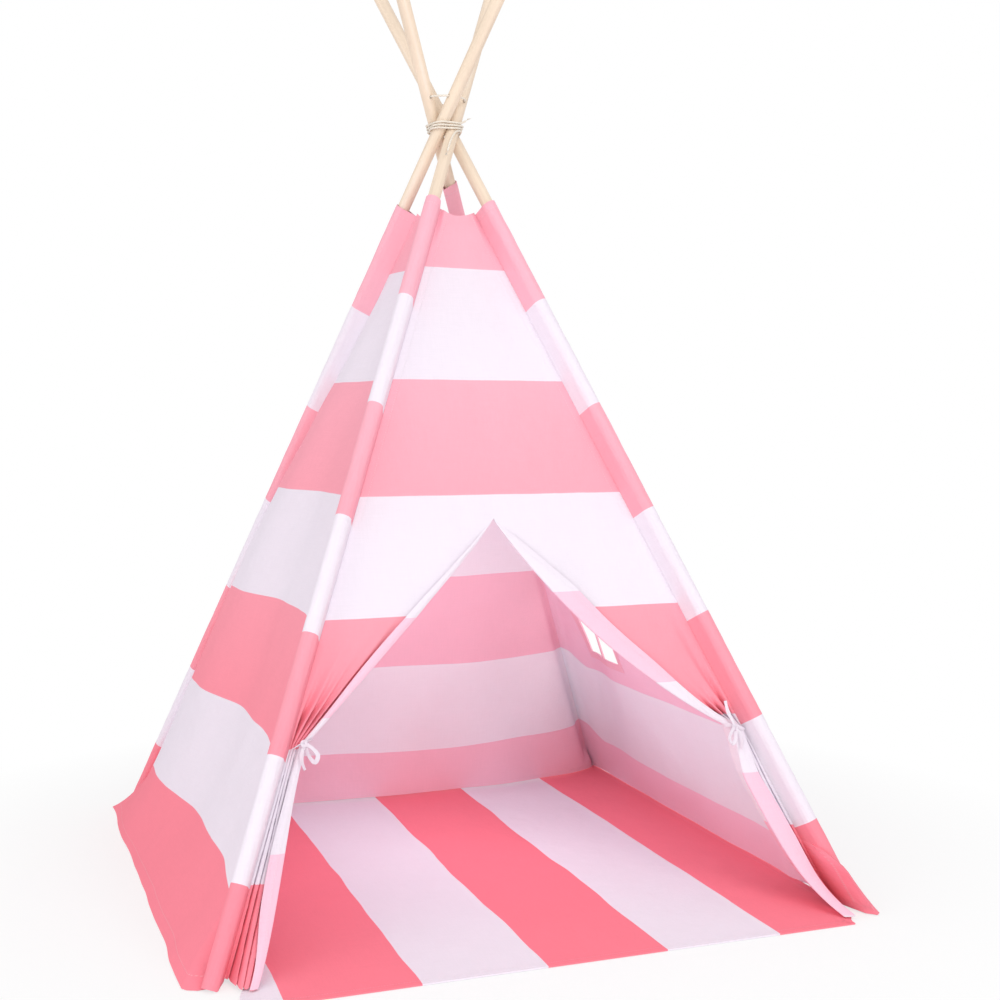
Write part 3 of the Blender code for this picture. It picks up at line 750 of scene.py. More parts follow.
class TEEPEE_OT_sleeves(bpy.types.Operator):
    """Sew the four striped sleeves round the poles, closed at the foot"""

    bl_idname = "teepee.sleeves"
    bl_label = "Sleeves"

    def execute(self, context):
        for name in CORNERS:
            self.sleeve(Pole(name))
        return {"FINISHED"}

    def sleeve(self, pole):
        s = sizes()
        top = pole.below - (s.long_sleeve_top if pole.name == "back_right" else s.sleeve_top)
        bottom = s.sleeve_wall / pole.axis.z
        tangent = math.acos(s.sleeve_radius / s.sleeve_reach)
        seed = sum(CORNERS[pole.name]) * 3.1 + CORNERS[pole.name][0]

        def reach(angle):
            """The section: round the pole, then drawn in flat to its seam."""
            off = abs(math.remainder(angle, math.tau))
            if off > tangent:
                return s.sleeve_radius
            return s.sleeve_radius / math.cos(tangent - off)

        def place(u, v):
            angle = math.tau * u
            station = top + (bottom - top) * v
            spot = Vector((math.cos(angle) * 9, math.sin(angle) * 9, station * 30))
            slack = 0.5 + 0.5 * crumple(spot, 1.0, seed)
            away = abs(math.remainder(angle, math.tau)) / math.pi
            radius = reach(angle) + 0.0016 * slack * smooth(away * 2)
            ray = pole.inward * math.cos(angle) + pole.across * math.sin(angle)
            point = pole.foot + pole.axis * station + ray * radius
            floor = s.hem_clearance * 0.5
            if point.z < floor:
                point += pole.axis * ((floor - point.z) / pole.axis.z)
            return point

        def lay(u, v, point):
            down = pole.below - pole.station(point) - s.sleeve_stripe
            return (u * math.tau * s.sleeve_radius, max(down, 0.6 * down - 0.04))

        def sew(u, v, point):
            return (u * math.tau * s.sleeve_radius, top - pole.station(point))

        def outward(point):
            return point - (pole.foot + pole.axis * pole.station(point))

        name = f"{pole.name}_sleeve_cloth"
        obj = woven_sheet(name, 44, 190, place, lay, sew, outward, closed=True)
        close_foot(obj)
        thicken(obj, cover_finishes(), s.sleeve_wall, -1.0)
        smooth_shade(obj)
        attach(obj, pole.body)
        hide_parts(f"{pole.name}_sleeve")
        girth = (math.tau - 2 * tangent) * s.sleeve_radius
        girth += 2 * math.sqrt(s.sleeve_reach**2 - s.sleeve_radius**2)


def close_foot(obj):
    """Closes the lowest ring of a tube with a flat sole."""
    bm = bmesh.new()
    bm.from_mesh(obj.data)
    low = [e for e in bm.edges if e.is_boundary and (e.verts[0].co.z + e.verts[1].co.z) < 0.1]
    bmesh.ops.edgeloop_fill(bm, edges=low)
    bm.to_mesh(obj.data)
    bm.free()


# ---------------------------------------------------------------- the front


HALF_COLUMNS = 84


def seam_x(wall, side, z):
    a, b = wall.span(z)
    return b.x if side > 0 else a.x


def front_relief(x, z):
    """How far the front cloth stands out of its plane: soft gathers beside the sleeves."""
    spot = Vector((x * 1.6, 0, z))
    return 0.004 * crumple(spot, 0.16, 2.0) + 0.0015 * crumple(spot, 0.05, 5.0)


class TEEPEE_OT_front(bpy.types.Operator):
    """Hang the front wall above the door"""

    bl_idname = "teepee.front"
    bl_label = "Front Panel"

    def execute(self, context):
        s = sizes()
        wall = Wall("front_left", "front_right")

        def place(u, v):
            z = cover_top(u) * (1 - v) + s.door_top * v
            a, b = wall.span(z)
            shift = (b.x + a.x) / 2 - sum(p.x for p in wall.span(s.door_top)) / 2
            if u < 0.5:
                x = a.x + (shift - a.x) * (u * 2)
            else:
                x = shift + (b.x - shift) * (u * 2 - 1)
            held = smooth(min(x - a.x, b.x - x) / 0.05)
            return wall.at_x(x, z, front_relief(x, z) * held + crown(u, z))

        lay, sew = front_lay(wall), front_sew(wall)
        columns = 2 * HALF_COLUMNS
        obj = woven_sheet("front_panel_cloth", columns, 90, place, lay, sew, wall.outward)
        thicken(obj, cover_finishes())
        smooth_shade(obj)
        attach(obj, "front_frame")
        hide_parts("front_panel")
        flat, area = trapezoid(wall, cover_top(0.5), s.door_top)
        return {"FINISHED"}


def front_lay(wall):
    """Flat layout of the front panel, which takes its stripes across from the door flaps."""
    return lambda u, v, point: (point.x, wall.down(point.z) - sizes().wall_stripe)


def front_sew(wall):
    """Distance from the nearer seam of the front panel."""

    def sew(u, v, point):
        a, b = wall.span(point.z)
        return (wall.down(point.z), min(point.x - a.x, b.x - point.x))

    return sew


def tie_height(side):
    return sizes().right_tie if side > 0 else sizes().left_tie


# For each fold of the flaps: its place across the flap below the ribbon and above it, its half
# width below and above, its depth below and above, and how fast it dies out upwards. Places and
# half widths are shares of the flap's width; the depths are in metres.
FLAP_FOLDS = {
    -1: (
        (0.14, 0.20, 0.042, 0.15, 0.060, 0.022, 2.6),
        (0.34, 0.46, 0.042, 0.13, 0.060, 0.026, 3.0),
        (0.54, 0.68, 0.042, 0.12, 0.060, 0.020, 2.6),
        (0.76, 0.88, 0.042, 0.10, 0.050, 0.028, 1.6),
    ),
    1: (
        (0.14, 0.12, 0.042, 0.10, 0.060, 0.016, 1.4),
        (0.34, 0.36, 0.042, 0.13, 0.060, 0.012, 5.0),
        (0.54, 0.60, 0.042, 0.12, 0.060, 0.014, 5.0),
        (0.76, 0.90, 0.042, 0.11, 0.050, 0.026, 0.35),
    ),
}


# How each flap is turned back, in metres. droop: how far its edge hangs below a straight line to
# the ribbon. swell and pinch: the width that it gains below the ribbon and loses at the floor, each
# with the height that this takes. lapel: the width of the turned-back margin, and lapel_grown the
# share of the way to the ribbon where it is full. lapel_below: its width at the ribbon, what it
# gains below and what it loses again, with where this starts. spill: how far its foot spreads.
TURNBACK = {
    -1: {
        "droop": 0.004,
        "swell": (0.025, 0.29),
        "pinch": (0.012, 0.02),
        "lapel": 0.018,
        "lapel_grown": 0.5,
        "lapel_below": (0.008, (0.014, 0.20), (0.012, 0.22, 0.11)),
        "spill": 0.055,
    },
    1: {
        "droop": 0.052,
        "swell": (0.024, 0.10),
        "pinch": (0.020, 0.03),
        "lapel": 0.046,
        "lapel_grown": 0.32,
        "lapel_below": (0.0175, (0.016, 0.15), (0.016, 0.18, 0.12)),
        "spill": 0.092,
    },
}
# Where the stripes of the turned-back margins start, and how much they are stretched
LAPEL_STRIPES = {-1: (0.216, 0.91), 1: (0.142, 0.87)}
BODY_COLUMNS, FOLD_COLUMNS, LAPEL_COLUMNS = HALF_COLUMNS, 8, 14
FOLD_RADIUS = 0.0032
LYING_HEIGHT = 0.015


class TEEPEE_OT_door(bpy.types.Operator):
    """Hang both door flaps, turned back along the slit and drawn in by their ribbons"""

    bl_idname = "teepee.door"
    bl_label = "Door Flaps"

    def execute(self, context):
        self.wall = Wall("front_left", "front_right")
        self.flap(-1, "left")
        self.flap(1, "right")
        return {"FINISHED"}

    def edge_x(self, side, z):
        """How far the fold of the tied-back edge stands from the middle of the door."""
        s, tie_z, look = sizes(), tie_height(side), TURNBACK[side]
        if z >= tie_z:
            t = (s.door_top - z) / (s.door_top - tie_z)
            tie = abs(seam_x(self.wall, side, tie_z)) - s.tie_bunch
            return tie * t - look["droop"] * math.sin(math.pi * t**1.25) ** 0.7
        (swell, swell_run), (pinch, pinch_run) = look["swell"], look["pinch"]
        reach = s.tie_bunch + swell * smooth((tie_z - z) / swell_run)
        return abs(seam_x(self.wall, side, z)) - reach + pinch * math.exp(-z / pinch_run)

    def lapel_width(self, side, z):
        """Width of the turned-back margin, drawn in at the ribbon and narrow at the foot."""
        s, tie_z, look = sizes(), tie_height(side), TURNBACK[side]
        if z >= tie_z:
            t = (s.door_top - z) / (s.door_top - tie_z)
            grown = min(1, t / look["lapel_grown"]) ** 0.8
            return look["lapel"] * grown * (1 - 0.62 * smooth((t - 0.62) / 0.38))
        below = tie_z - z
        start, (gain, gain_run), (loss, loss_start, loss_run) = look["lapel_below"]
        lost = loss * smooth((below - loss_start) / loss_run)
        return start + gain * smooth(below / gain_run) - lost

    def spill(self, side, z):
        """How far the foot of a flap spreads forwards over the floor."""
        return TURNBACK[side]["spill"] * math.exp(-max(z - 0.004, 0) / 0.045)

    def flap(self, side, label):
        s, wall, tie_z = sizes(), self.wall, tie_height(side)
        columns = BODY_COLUMNS + FOLD_COLUMNS + LAPEL_COLUMNS
        turn_share, lapel_share = BODY_COLUMNS / columns, (BODY_COLUMNS + FOLD_COLUMNS) / columns
        top, bottom = s.door_top, s.mat_thickness + 0.0030

        def depth(u, z):
            """How far the folds of the drawn-in cloth lie behind its face."""
            above = max((z - tie_z) / (s.door_top - tie_z), 0)
            rise = smooth((z - tie_z + 0.02) / 0.08)
            total = 0.0
            for low, high, slim, wide, deep, shallow, fade in FLAP_FOLDS[side]:
                middle = low + (high - low) * rise + 0.012 * math.sin(31 * z + 9 * low + side)
                width = slim + (wide - slim) * rise
                far = deep + (shallow - deep) * rise
                far *= max(1 - above / 0.62, 0) ** fade
                total += far * smooth(1 - abs(u - middle) / width)
            return total

        def place(u, v):
            z = top + (bottom - top) * v
            seam = seam_x(wall, side, z)
            edge = side * self.edge_x(side, z)
            opened = smooth((top - z) / 0.05)
            radius = FOLD_RADIUS * opened
            if u <= turn_share:
                share = u / turn_share
                x = seam + (edge - seam) * share
                held = smooth(abs(x - seam) / 0.05)
                face = front_relief(x, z) * held * smooth((z - tie_z) / 0.2)
                spilt = self.spill(side, z) * smooth(share / 0.5)
                return wall.at_x(x, z, face + spilt - depth(share, z) * opened)
            settle = front_relief(edge, z) * smooth(abs(edge - seam) / 0.05)
            settle *= smooth((z - tie_z) / 0.2)
            settle += self.spill(side, z)
            if u <= lapel_share:
                angle = math.pi * (u - turn_share) / (lapel_share - turn_share)
                x = edge - side * radius * math.sin(angle)
                return wall.at_x(x, z, settle + radius * (1 - math.cos(angle)))
            share = (u - lapel_share) / (1 - lapel_share)
            x = edge + side * self.lapel_width(side, z) * share
            lift = 2 * radius + 0.002 * math.sin(math.pi * share) * opened
            return wall.at_x(x, z, settle + lift)

        def lay(u, v, point):
            z = top + (bottom - top) * v
            if u <= turn_share:
                return (point.x, wall.down(z) - s.wall_stripe)
            straight_to = max(z, tie_z)
            run = math.hypot((top - straight_to) * wall.slope, self.edge_x(side, straight_to))
            run += (straight_to - z) * wall.slope
            start, stretch = LAPEL_STRIPES[side]
            return (point.x, run * stretch - start + s.stripe)

        def sew(u, v, point):
            z = top + (bottom - top) * v
            if u <= turn_share:
                return (wall.down(z), FAR_FROM_HEMS)
            share = max((u - lapel_share) / (1 - lapel_share), 0)
            return (wall.down(z), self.lapel_width(side, z) * (1 - share))

        obj = woven_sheet(f"{label}_flap_cloth", columns, 150, place, lay, sew, wall.outward)
        thicken(obj, cover_finishes())
        self.finish_lapel(obj)
        smooth_shade(obj, 60)
        hinge = Vector((0, wall.at_x(0, s.door_top).y, s.door_top))
        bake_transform(obj, "front_frame", f"{label}_door", wall.at_x(seam_x(wall, side, 0.3), 0.3), hinge)
        self.weigh(obj, side)
        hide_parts(f"{label}_flap", f"{label}_flap_hem")
        flat = (abs(seam_x(wall, side, bottom)), (top - bottom) * wall.slope)
        area = flat[1] * (abs(seam_x(wall, side, top)) + flat[0]) / 2

    @staticmethod
    def finish_lapel(obj):
        """The turned-back margin shows the wrong side of the cloth in full light, its pink painted lighter
        than the wrong side's elsewhere: painted light.
        """
        c = colours()
        obj.data.materials.append(cotton_once("lapel", c.white, c.lapel_pink_painted_light))
        off = obj.data.uv_layers[SEWN].data
        for face in obj.data.polygons:
            if face.material_index == 1 and off[face.loop_start].uv.y < FAR_FROM_HEMS / 2:
                face.material_index = 2

    def weigh(self, obj, side):
        """Ties the flap to the sleeve, the panel and, where it lies there, the floor."""
        s = sizes()
        weights = obj.data.attributes["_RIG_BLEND"].data
        for vertex, weight in zip(obj.data.vertices, weights):
            z = min(vertex.co.z, s.door_top)
            seam = abs(seam_x(self.wall, side, z))
            edge = self.edge_x(side, z)
            share = (seam - vertex.co.x * side) / max(seam - edge, 0.001)
            lifted = max(z - LYING_HEIGHT, 0) / (tie_height(side) - LYING_HEIGHT)
            weight.value = smooth(share) * smooth((s.door_top - z) / 0.12) * min(lifted, 1) ** 1.2


# ---------------------------------------------------------------- side and back walls


# Of the window: its side, its bars and its border, how far behind the tent's middle it starts,
# its sill, and how far the wall's cloth is cut back behind the border
WINDOW_SIDE = 0.19
WINDOW_BAR = 0.016
WINDOW_BORDER = 0.016
WINDOW_START = 0.100
WINDOW_SILL = 0.333
WINDOW_LAP = 0.012


class TEEPEE_OT_sides(bpy.types.Operator):
    """Hang both side walls, bellied out over their hems, the right one with its window"""

    bl_idname = "teepee.sides"
    bl_label = "Side Walls"

    def execute(self, context):
        left, right = Wall("back_left", "front_left"), Wall("front_right", "back_right")
        self.walls = {"left": left, "right": right}
        for label, wall in self.walls.items():
            for half in ("front", "back"):
                self.half(label, wall, half)
        self.window()
        return {"FINISHED"}

    @staticmethod
    def relief(wall, u, z):
        """How far a side wall stands out at this share of its width and at this height."""
        s = sizes()
        fall = fall_share(z)
        if wall.second.name in FRONT_POLES:
            ahead = u
            belly = s.left_belly * (1 - smooth((ahead - 0.24) / 0.34))
            hem = s.left_spread - 0.018 * ahead
        else:
            ahead = 1 - u
            belly = s.right_belly * (1 - smooth((ahead - 0.16) / 0.16))
            hem = 0.6 * s.right_spread * smooth((ahead - 0.86) / 0.14) - 0.003
        slack = (s.side_slack + belly * smooth(ahead / 0.14)) * smooth(fall / 0.55)
        skirt = fall**16
        slack += skirt * (hem - slack)
        waves = 0.005 * fall**2 * crumple(Vector((u * 7, z * 1.5, 1.0)), 1.0, 3.0)
        fine = 0.0022 * crumple(wall.at(u, z), 0.09, 4.0)
        held = smooth(min(u, 1 - u) * 14)
        return slack * smooth(min(u, 1 - u) / 0.035) + (waves + fine) * held

    def point(self, wall, u, v):
        s = sizes()
        hem = s.hem_clearance
        if wall.first.name in FRONT_POLES:
            hem += 0.0038 * smooth(min(u - 0.10, 1 - u) / 0.05)
        z = cover_top(u) * (1 - v) + hem * v
        return wall.at(u, z, self.relief(wall, u, z)) + self.trail(wall, u, z)

    @staticmethod
    def trail(wall, u, z):
        """How far the loose ends of a hem trail along the floor, past the pole's foot."""
        left = wall.second.name in FRONT_POLES
        ahead = u if left else 1 - u
        near = math.exp(-z / 0.022) if left else smooth((0.125 - z) / 0.05)
        front = smooth((ahead - 0.90) / 0.07) * smooth((1 - ahead) / 0.02)
        front *= 0.045 if left else 0.115
        back = 0.035 * smooth((0.10 - ahead) / 0.07) * smooth(ahead / 0.02) if left else 0
        return Vector((0, (back - front) * near, 0))

    def half(self, label, wall, half):
        s = sizes()
        low = 0.0 if (half == "front") == (wall.first.name in FRONT_POLES) else 0.5

        def share(u):
            return low + u / 2

        def droop(u, z):
            """How far the stripes hang down beside the front sleeve."""
            if label == "right":
                near = smooth((1 - u) / 0.10) * smooth(u / 0.12)
                return 0.052 * near * fall_share(z) ** 0.5
            return 0.022 * smooth(1 - (1 - u) / 0.16) * smooth(3 * fall_share(z) - 0.6)

        lay = wall_lay(wall, droop)
        sew = wall_sew(wall, s.hem_clearance)
        obj = woven_sheet(
            f"{label}_wall_{half}_cloth", 70, 150,
            lambda u, v: self.point(wall, share(u), v),
            lambda u, v, p: lay(share(u), v, p),
            lambda u, v, p: sew(share(u), v, p),
            wall.outward,
        )
        thicken(obj, side_finishes())
        if (label, half) == ("right", "back"):
            self.cut_window(obj, WINDOW_LAP)
        smooth_shade(obj)
        self.hang(obj, wall, half)
        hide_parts(f"{label}_wall")
        flat, area = trapezoid(wall, cover_top(0.5), s.hem_clearance, 0.5)

    @staticmethod
    def hang(obj, wall, half):
        """One half follows its frame at the sleeve and stays with the lashing at the fold."""
        s = sizes()
        middle = Vector((0, s.tent_back, 0))
        sign = -1 if half == "front" else 1
        end = middle + Vector((0, sign * s.foot_spacing / 2, 0))
        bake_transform(obj, "lashing", f"{half}_frame", middle, end)
        for vertex, weight in zip(obj.data.vertices, obj.data.attributes["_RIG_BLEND"].data):
            a, b = wall.span(vertex.co.z)
            reach = max(abs(a.y - b.y) / 2, 0.001)
            weight.value = min(max(sign * (vertex.co.y - (a.y + b.y) / 2) / reach, 0), 1)

    @staticmethod
    def panes():
        """Where the two columns and the two rows of panes start and end."""
        pane = (WINDOW_SIDE - WINDOW_BAR) / 2

        def pair(low):
            return (low, low + pane), (low + pane + WINDOW_BAR, low + WINDOW_SIDE)

        return pair(sizes().tent_back + WINDOW_START), pair(WINDOW_SILL)

    @staticmethod
    def cut(obj, columns, rows, margin=0.0, operation="DIFFERENCE"):
        """Cuts the box over these columns and rows, and a margin, out of a piece of cloth."""
        low = Vector((0.1, columns[0] - margin, rows[0] - margin))
        high = Vector((0.7, columns[1] + margin, rows[1] + margin))
        bpy.ops.object.select_all(action="DESELECT")
        bpy.ops.mesh.primitive_cube_add(size=1, location=(low + high) / 2, scale=high - low)
        cutter = bpy.context.active_object
        apply_modifier(obj, "BOOLEAN", operation=operation, object=cutter, solver="EXACT")
        bpy.data.objects.remove(cutter)

    def cut_window(self, obj, margin, operation="DIFFERENCE"):
        columns, rows = self.panes()
        across, up = (columns[0][0], columns[1][1]), (rows[0][0], rows[1][1])
        self.cut(obj, across, up, margin, operation)

    def window(self):
        """The sewn border and the cross-shaped bars, cut from doubled cloth."""
        wall = self.walls["right"]
        columns, rows = self.panes()

        def place(u, v):
            share = 0.5 + 0.5 * u
            z = 0.60 + (0.25 - 0.60) * v
            return wall.at(share, z, self.relief(wall, share, z))

        def sew(u, v, point):
            sides = point.y - columns[0][0], columns[1][1] - point.y
            ends = point.z - rows[0][0], rows[1][1] - point.z
            return (point.y + point.z, min(*sides, *ends) + WINDOW_BORDER + 0.010)

        def lay(u, v, point):
            return (point.y, point.z)

        obj = woven_sheet("window_frame_cloth", 110, 90, place, lay, sew, wall.outward)
        thicken(obj, [cotton("border_cotton", colours().pale_pink)], 0.0030)
        self.cut_window(obj, WINDOW_BORDER, "INTERSECT")
        for column in columns:
            for row in rows:
                self.cut(obj, column, row)
        smooth_shade(obj)
        self.hang(obj, wall, "back")
        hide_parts("window_frame")


class TEEPEE_OT_back(bpy.types.Operator):
    """Hang the back wall, which sags inwards over the mat's edge"""

    bl_idname = "teepee.back"
    bl_label = "Back Wall"

    def execute(self, context):
        s = sizes()
        wall = Wall("back_right", "back_left")

        def place(u, v):
            hem = s.hem_clearance + s.back_lift * math.sin(math.pi * u) ** 0.25
            z = cover_top(u) * (1 - v) + hem * v
            fall = fall_share(z)
            onset = max(smooth(min(u, 1 - u) * 28), smooth((0.07 - z) / 0.05))
            belly = math.sin(math.pi * u) ** 0.4 * onset
            edge = smooth(min(u, 1 - u) * 12)
            waves = 0.012 * fall**2 * crumple(Vector((u * 6, z * 1.2, 2.0)), 1.0, 7.0)
            fine = 0.003 * crumple(wall.at(u, z), 0.10, 6.0)
            sag = s.back_sag * fall**3 * belly
            return wall.at(u, z, (waves + fine) * edge - sag + crown(u, z))

        def droop(u, z):
            waves = 0.011 * fall_share(z) * crumple(Vector((u * 5, z * 3, 0)), 1.0, 11.0)
            return waves + 0.034 * math.sin(math.pi * u) ** 0.6 * fall_share(z) ** 3

        lay = wall_lay(wall, droop)
        sew = wall_sew(wall, s.hem_clearance)
        obj = woven_sheet("back_wall_cloth", 130, 150, place, lay, sew, wall.outward)
        thicken(obj, cover_finishes())
        smooth_shade(obj)
        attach(obj, "back_frame")
        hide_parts("back_wall")
        flat, area = trapezoid(wall, cover_top(0.5), s.hem_clearance)
        return {"FINISHED"}


# ---------------------------------------------------------------- mat


class TEEPEE_OT_mat(bpy.types.Operator):
    """Lay the striped mat on the floor"""

    bl_idname = "teepee.mat"
    bl_label = "Floor Mat"

    def execute(self, context):
        s, c = sizes(), colours()
        low_y = s.tent_back - s.foot_spacing / 2 - s.mat_overhang
        half = s.mat_width / 2

        def place(u, v):
            x, y = s.mat_width * (u - 0.5), low_y + s.mat_depth * v
            foot = (y - s.tent_back + s.foot_spacing / 2 - 0.025) / 0.05
            x *= 1 - (0.008 if x > 0 else 0.05) * math.exp(-foot * foot) * (abs(x) / half) ** 30
            right = smooth(x / half * 12 - 11)
            x += 0.011 * right * smooth((y + 0.545) / 0.03)
            x -= 0.020 * smooth(x / half * 5 - 4) * smooth((-0.575 - y) / 0.04)
            y += 0.022 * smooth(v * 20 - 19) * smooth(x / half * 5 - 4)
            x += 0.006 * crumple(Vector((x, y, 0)), 0.12, 8.0) * smooth(1.2 - abs(x) / half)
            ripple = max(crumple(Vector((x * 1.4, y * 0.8, 0)), 0.11, 9.0), 0)
            rise = s.mat_thickness * 0.5 + 0.0022 * ripple * smooth(min(u, 1 - u, v, 1 - v) * 16)
            return Vector((x, y, rise))

        def lay(u, v, point):
            return (s.mat_depth * v, s.mat_width * (u - 0.5) - s.mat_stripe)

        def sew(u, v, point):
            side, end = min(u, 1 - u) * s.mat_width, min(v, 1 - v) * s.mat_depth
            return (v * s.mat_depth, side) if side < end else (u * s.mat_width, end)

        obj = woven_sheet("floor_mat_cloth", 130, 140, place, lay, sew, lambda p: Vector((0, 0, 1)))
        mat = cotton("mat_cotton", c.white, c.mat_pink)
        thicken(obj, [mat], s.mat_thickness * 0.9)
        smooth_shade(obj)
        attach(obj, "mat")
        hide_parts("floor_mat")
        return {"FINISHED"}


# ---------------------------------------------------------------- twine and ribbons


def ring_pass(pole):
    """Where the upper ring of twine runs through this pole, and in which level direction."""
    s = sizes()
    centre = pole.at_height(s.crossing_height + HOLE_HEIGHT)
    spoke = centre - Vector((0, s.tent_back, centre.z))
    return centre, Vector((-spoke.y, spoke.x, 0)).normalized()


def rounded(points, spacing, cyclic=False):
    """Evenly spaced points on the smooth curve through these ones."""
    dense = []
    count = len(points)
    spans = count if cyclic else count - 1
    for i in range(spans):
        if cyclic:
            p = [points[(i + k - 1) % count] for k in range(4)]
        else:
            p = [points[min(max(i + k - 1, 0), count - 1)] for k in range(4)]
        square = 2 * p[0] - 5 * p[1] + 4 * p[2] - p[3]
        cube = 3 * p[1] - p[0] - 3 * p[2] + p[3]
        for step in range(12):
            t = step / 12
            dense.append(0.5 * (2 * p[1] + (p[2] - p[0]) * t + square * t * t + cube * t**3))
    dense.append(points[0] if cyclic else points[-1])
    kept, run = [dense[0]], 0.0
    for before, after in zip(dense, dense[1:]):
        run += (after - before).length
        if run >= spacing:
            kept.append(after)
            run = 0.0
    return kept


def swept(name, points, section, outward):
    """A piece of this section swept along the points; section(share) gives its corners."""
    bm = bmesh.new()
    laid = bm.loops.layers.uv.new(LAID)
    sewn = bm.loops.layers.uv.new(SEWN)
    rings, runs, run = [], [], 0.0
    side = outward
    for i, point in enumerate(points):
        ahead = (points[min(i + 1, len(points) - 1)] - points[max(i - 1, 0)]).normalized()
        side = (side - ahead * side.dot(ahead)).normalized()
        across = ahead.cross(side)
        if i:
            run += (point - points[i - 1]).length
        corners = section(i / (len(points) - 1))
        rings.append([bm.verts.new(point + across * x + side * y) for x, y in corners])
        runs.append(run)
    count = len(rings[0])
    for i in range(len(rings) - 1):
        for k in range(count):
            n = (k + 1) % count
            face = bm.faces.new([rings[i][k], rings[i][n], rings[i + 1][n], rings[i + 1][k]])
            spots = [(runs[i], k), (runs[i], k + 1), (runs[i + 1], k + 1), (runs[i + 1], k)]
            for loop, (along, around) in zip(face.loops, spots):
                loop[laid].uv = (along, around / count)
                loop[sewn].uv = (along, FAR_FROM_HEMS)
    bm.faces.new(rings[0][::-1])
    bm.faces.new(rings[-1])
    bmesh.ops.recalc_face_normals(bm, faces=bm.faces)
    return object_from(name, bm)


def round_section(radius, count):
    angles = [math.tau * k / count for k in range(count)]
    corners = [(radius * math.cos(angle), radius * math.sin(angle)) for angle in angles]
    return lambda share: corners


def joined(name, pieces):
    bpy.ops.object.select_all(action="DESELECT")
    for piece in pieces:
        piece.select_set(True)
    bpy.context.view_layer.objects.active = pieces[0]
    if len(pieces) > 1:
        bpy.ops.object.join()
    pieces[0].name = pieces[0].data.name = name
    return pieces[0]


class TEEPEE_OT_twine(bpy.types.Operator):
    """Wind the twine round the crossing and thread the upper strand through the drilled holes"""

    bl_idname = "teepee.twine"
    bl_label = "Twine"

    def execute(self, context):
        self.poles = {name: Pole(name) for name in CORNERS}
        finish = laid_twine()
        for name, points, node in (
            ("lashing_twine", self.lashing(), "twine_lashing"),
            ("ring_twine", self.ring(), "twine_ring"),
        ):
            cyclic = node == "twine_ring"
            route = rounded(points, 0.0011, cyclic)
            section = round_section(sizes().twine_radius, 12)
            pieces = [swept(name, route, section, Vector((0.1, 0.2, 1)))]
            if not cyclic:
                pieces += self.frayed(route[-1], (route[-1] - route[-4]).normalized(), 1.0)
                pieces += self.frayed(route[0], (route[0] - route[3]).normalized(), 2.0)
            obj = joined(name, pieces)
            obj.data.materials.append(finish)
            smooth_shade(obj, 60)
            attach(obj, "lashing")
            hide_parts(node)
        return {"FINISHED"}

    def loop_point(self, z, angle):
        s = sizes()
        reach = s.pole_radius / self.poles["front_left"].axis.z + 0.0007 + s.twine_radius
        direction = Vector((math.cos(angle), math.sin(angle), 0))
        far = max((pole.at_height(z) for pole in self.poles.values()), key=direction.dot)
        return Vector((far.x, far.y, z)) + direction * reach

    def lashing(self):
        s = sizes()
        turns, steps, pitch, tail = 3, 24, 0.0046, 0.036
        low = s.crossing_height - pitch * turns / 2
        points = []
        for i in range(turns * steps + 1):
            angle = math.tau * i / steps - math.pi / 3
            points.append(self.loop_point(low + pitch * i / steps, angle))
        first_out = (points[0] - points[1]).normalized()
        last_out = (points[-1] - points[-2]).normalized()
        up = Vector((0, 0, 1))
        shares = [k / 5 for k in range(1, 6)]
        head = [points[0] + (first_out - up * t) * (tail * t) for t in reversed(shares)]
        end = [points[-1] + last_out * (0.3 * tail * t) + up * (pitch * t) for t in shares]
        return [*head, *points, *end]

    def ring(self):
        s = sizes()
        half_chord = 1.25 * s.pole_radius / self.poles["front_left"].axis.z
        passes = [ring_pass(self.poles[name]) for name in RING_ORDER]
        points = []
        for (centre, direction), (after, onward) in zip(passes, passes[1:] + passes[:1]):
            points += [centre + direction * half_chord * share for share in (-1, -0.4, 0.4, 1)]
            middle = (centre + direction * half_chord + after - onward * half_chord) / 2
            bulge = (middle - Vector((0, s.tent_back, middle.z))).normalized()
            points.append(middle + bulge * s.pole_radius * 0.12)
        return points

    def frayed(self, end, direction, seed):
        """The loose threads at a cut end."""
        threads = []
        for k in range(7):
            x, y = (crumple(Vector(spot), 0.7, seed) for spot in ((k, 0, 0), (0, k, 0)))
            spread = Vector((x, y, 0.2))
            points = [end - direction * 0.002]
            for step in range(1, 6):
                t = step / 5
                points.append(end + direction * 0.010 * t + spread * 0.007 * t * t)
            section = round_section(0.00035, 5)
            threads.append(swept(f"thread_{k}", points, section, Vector((0.3, 0.2, 1))))
        return threads


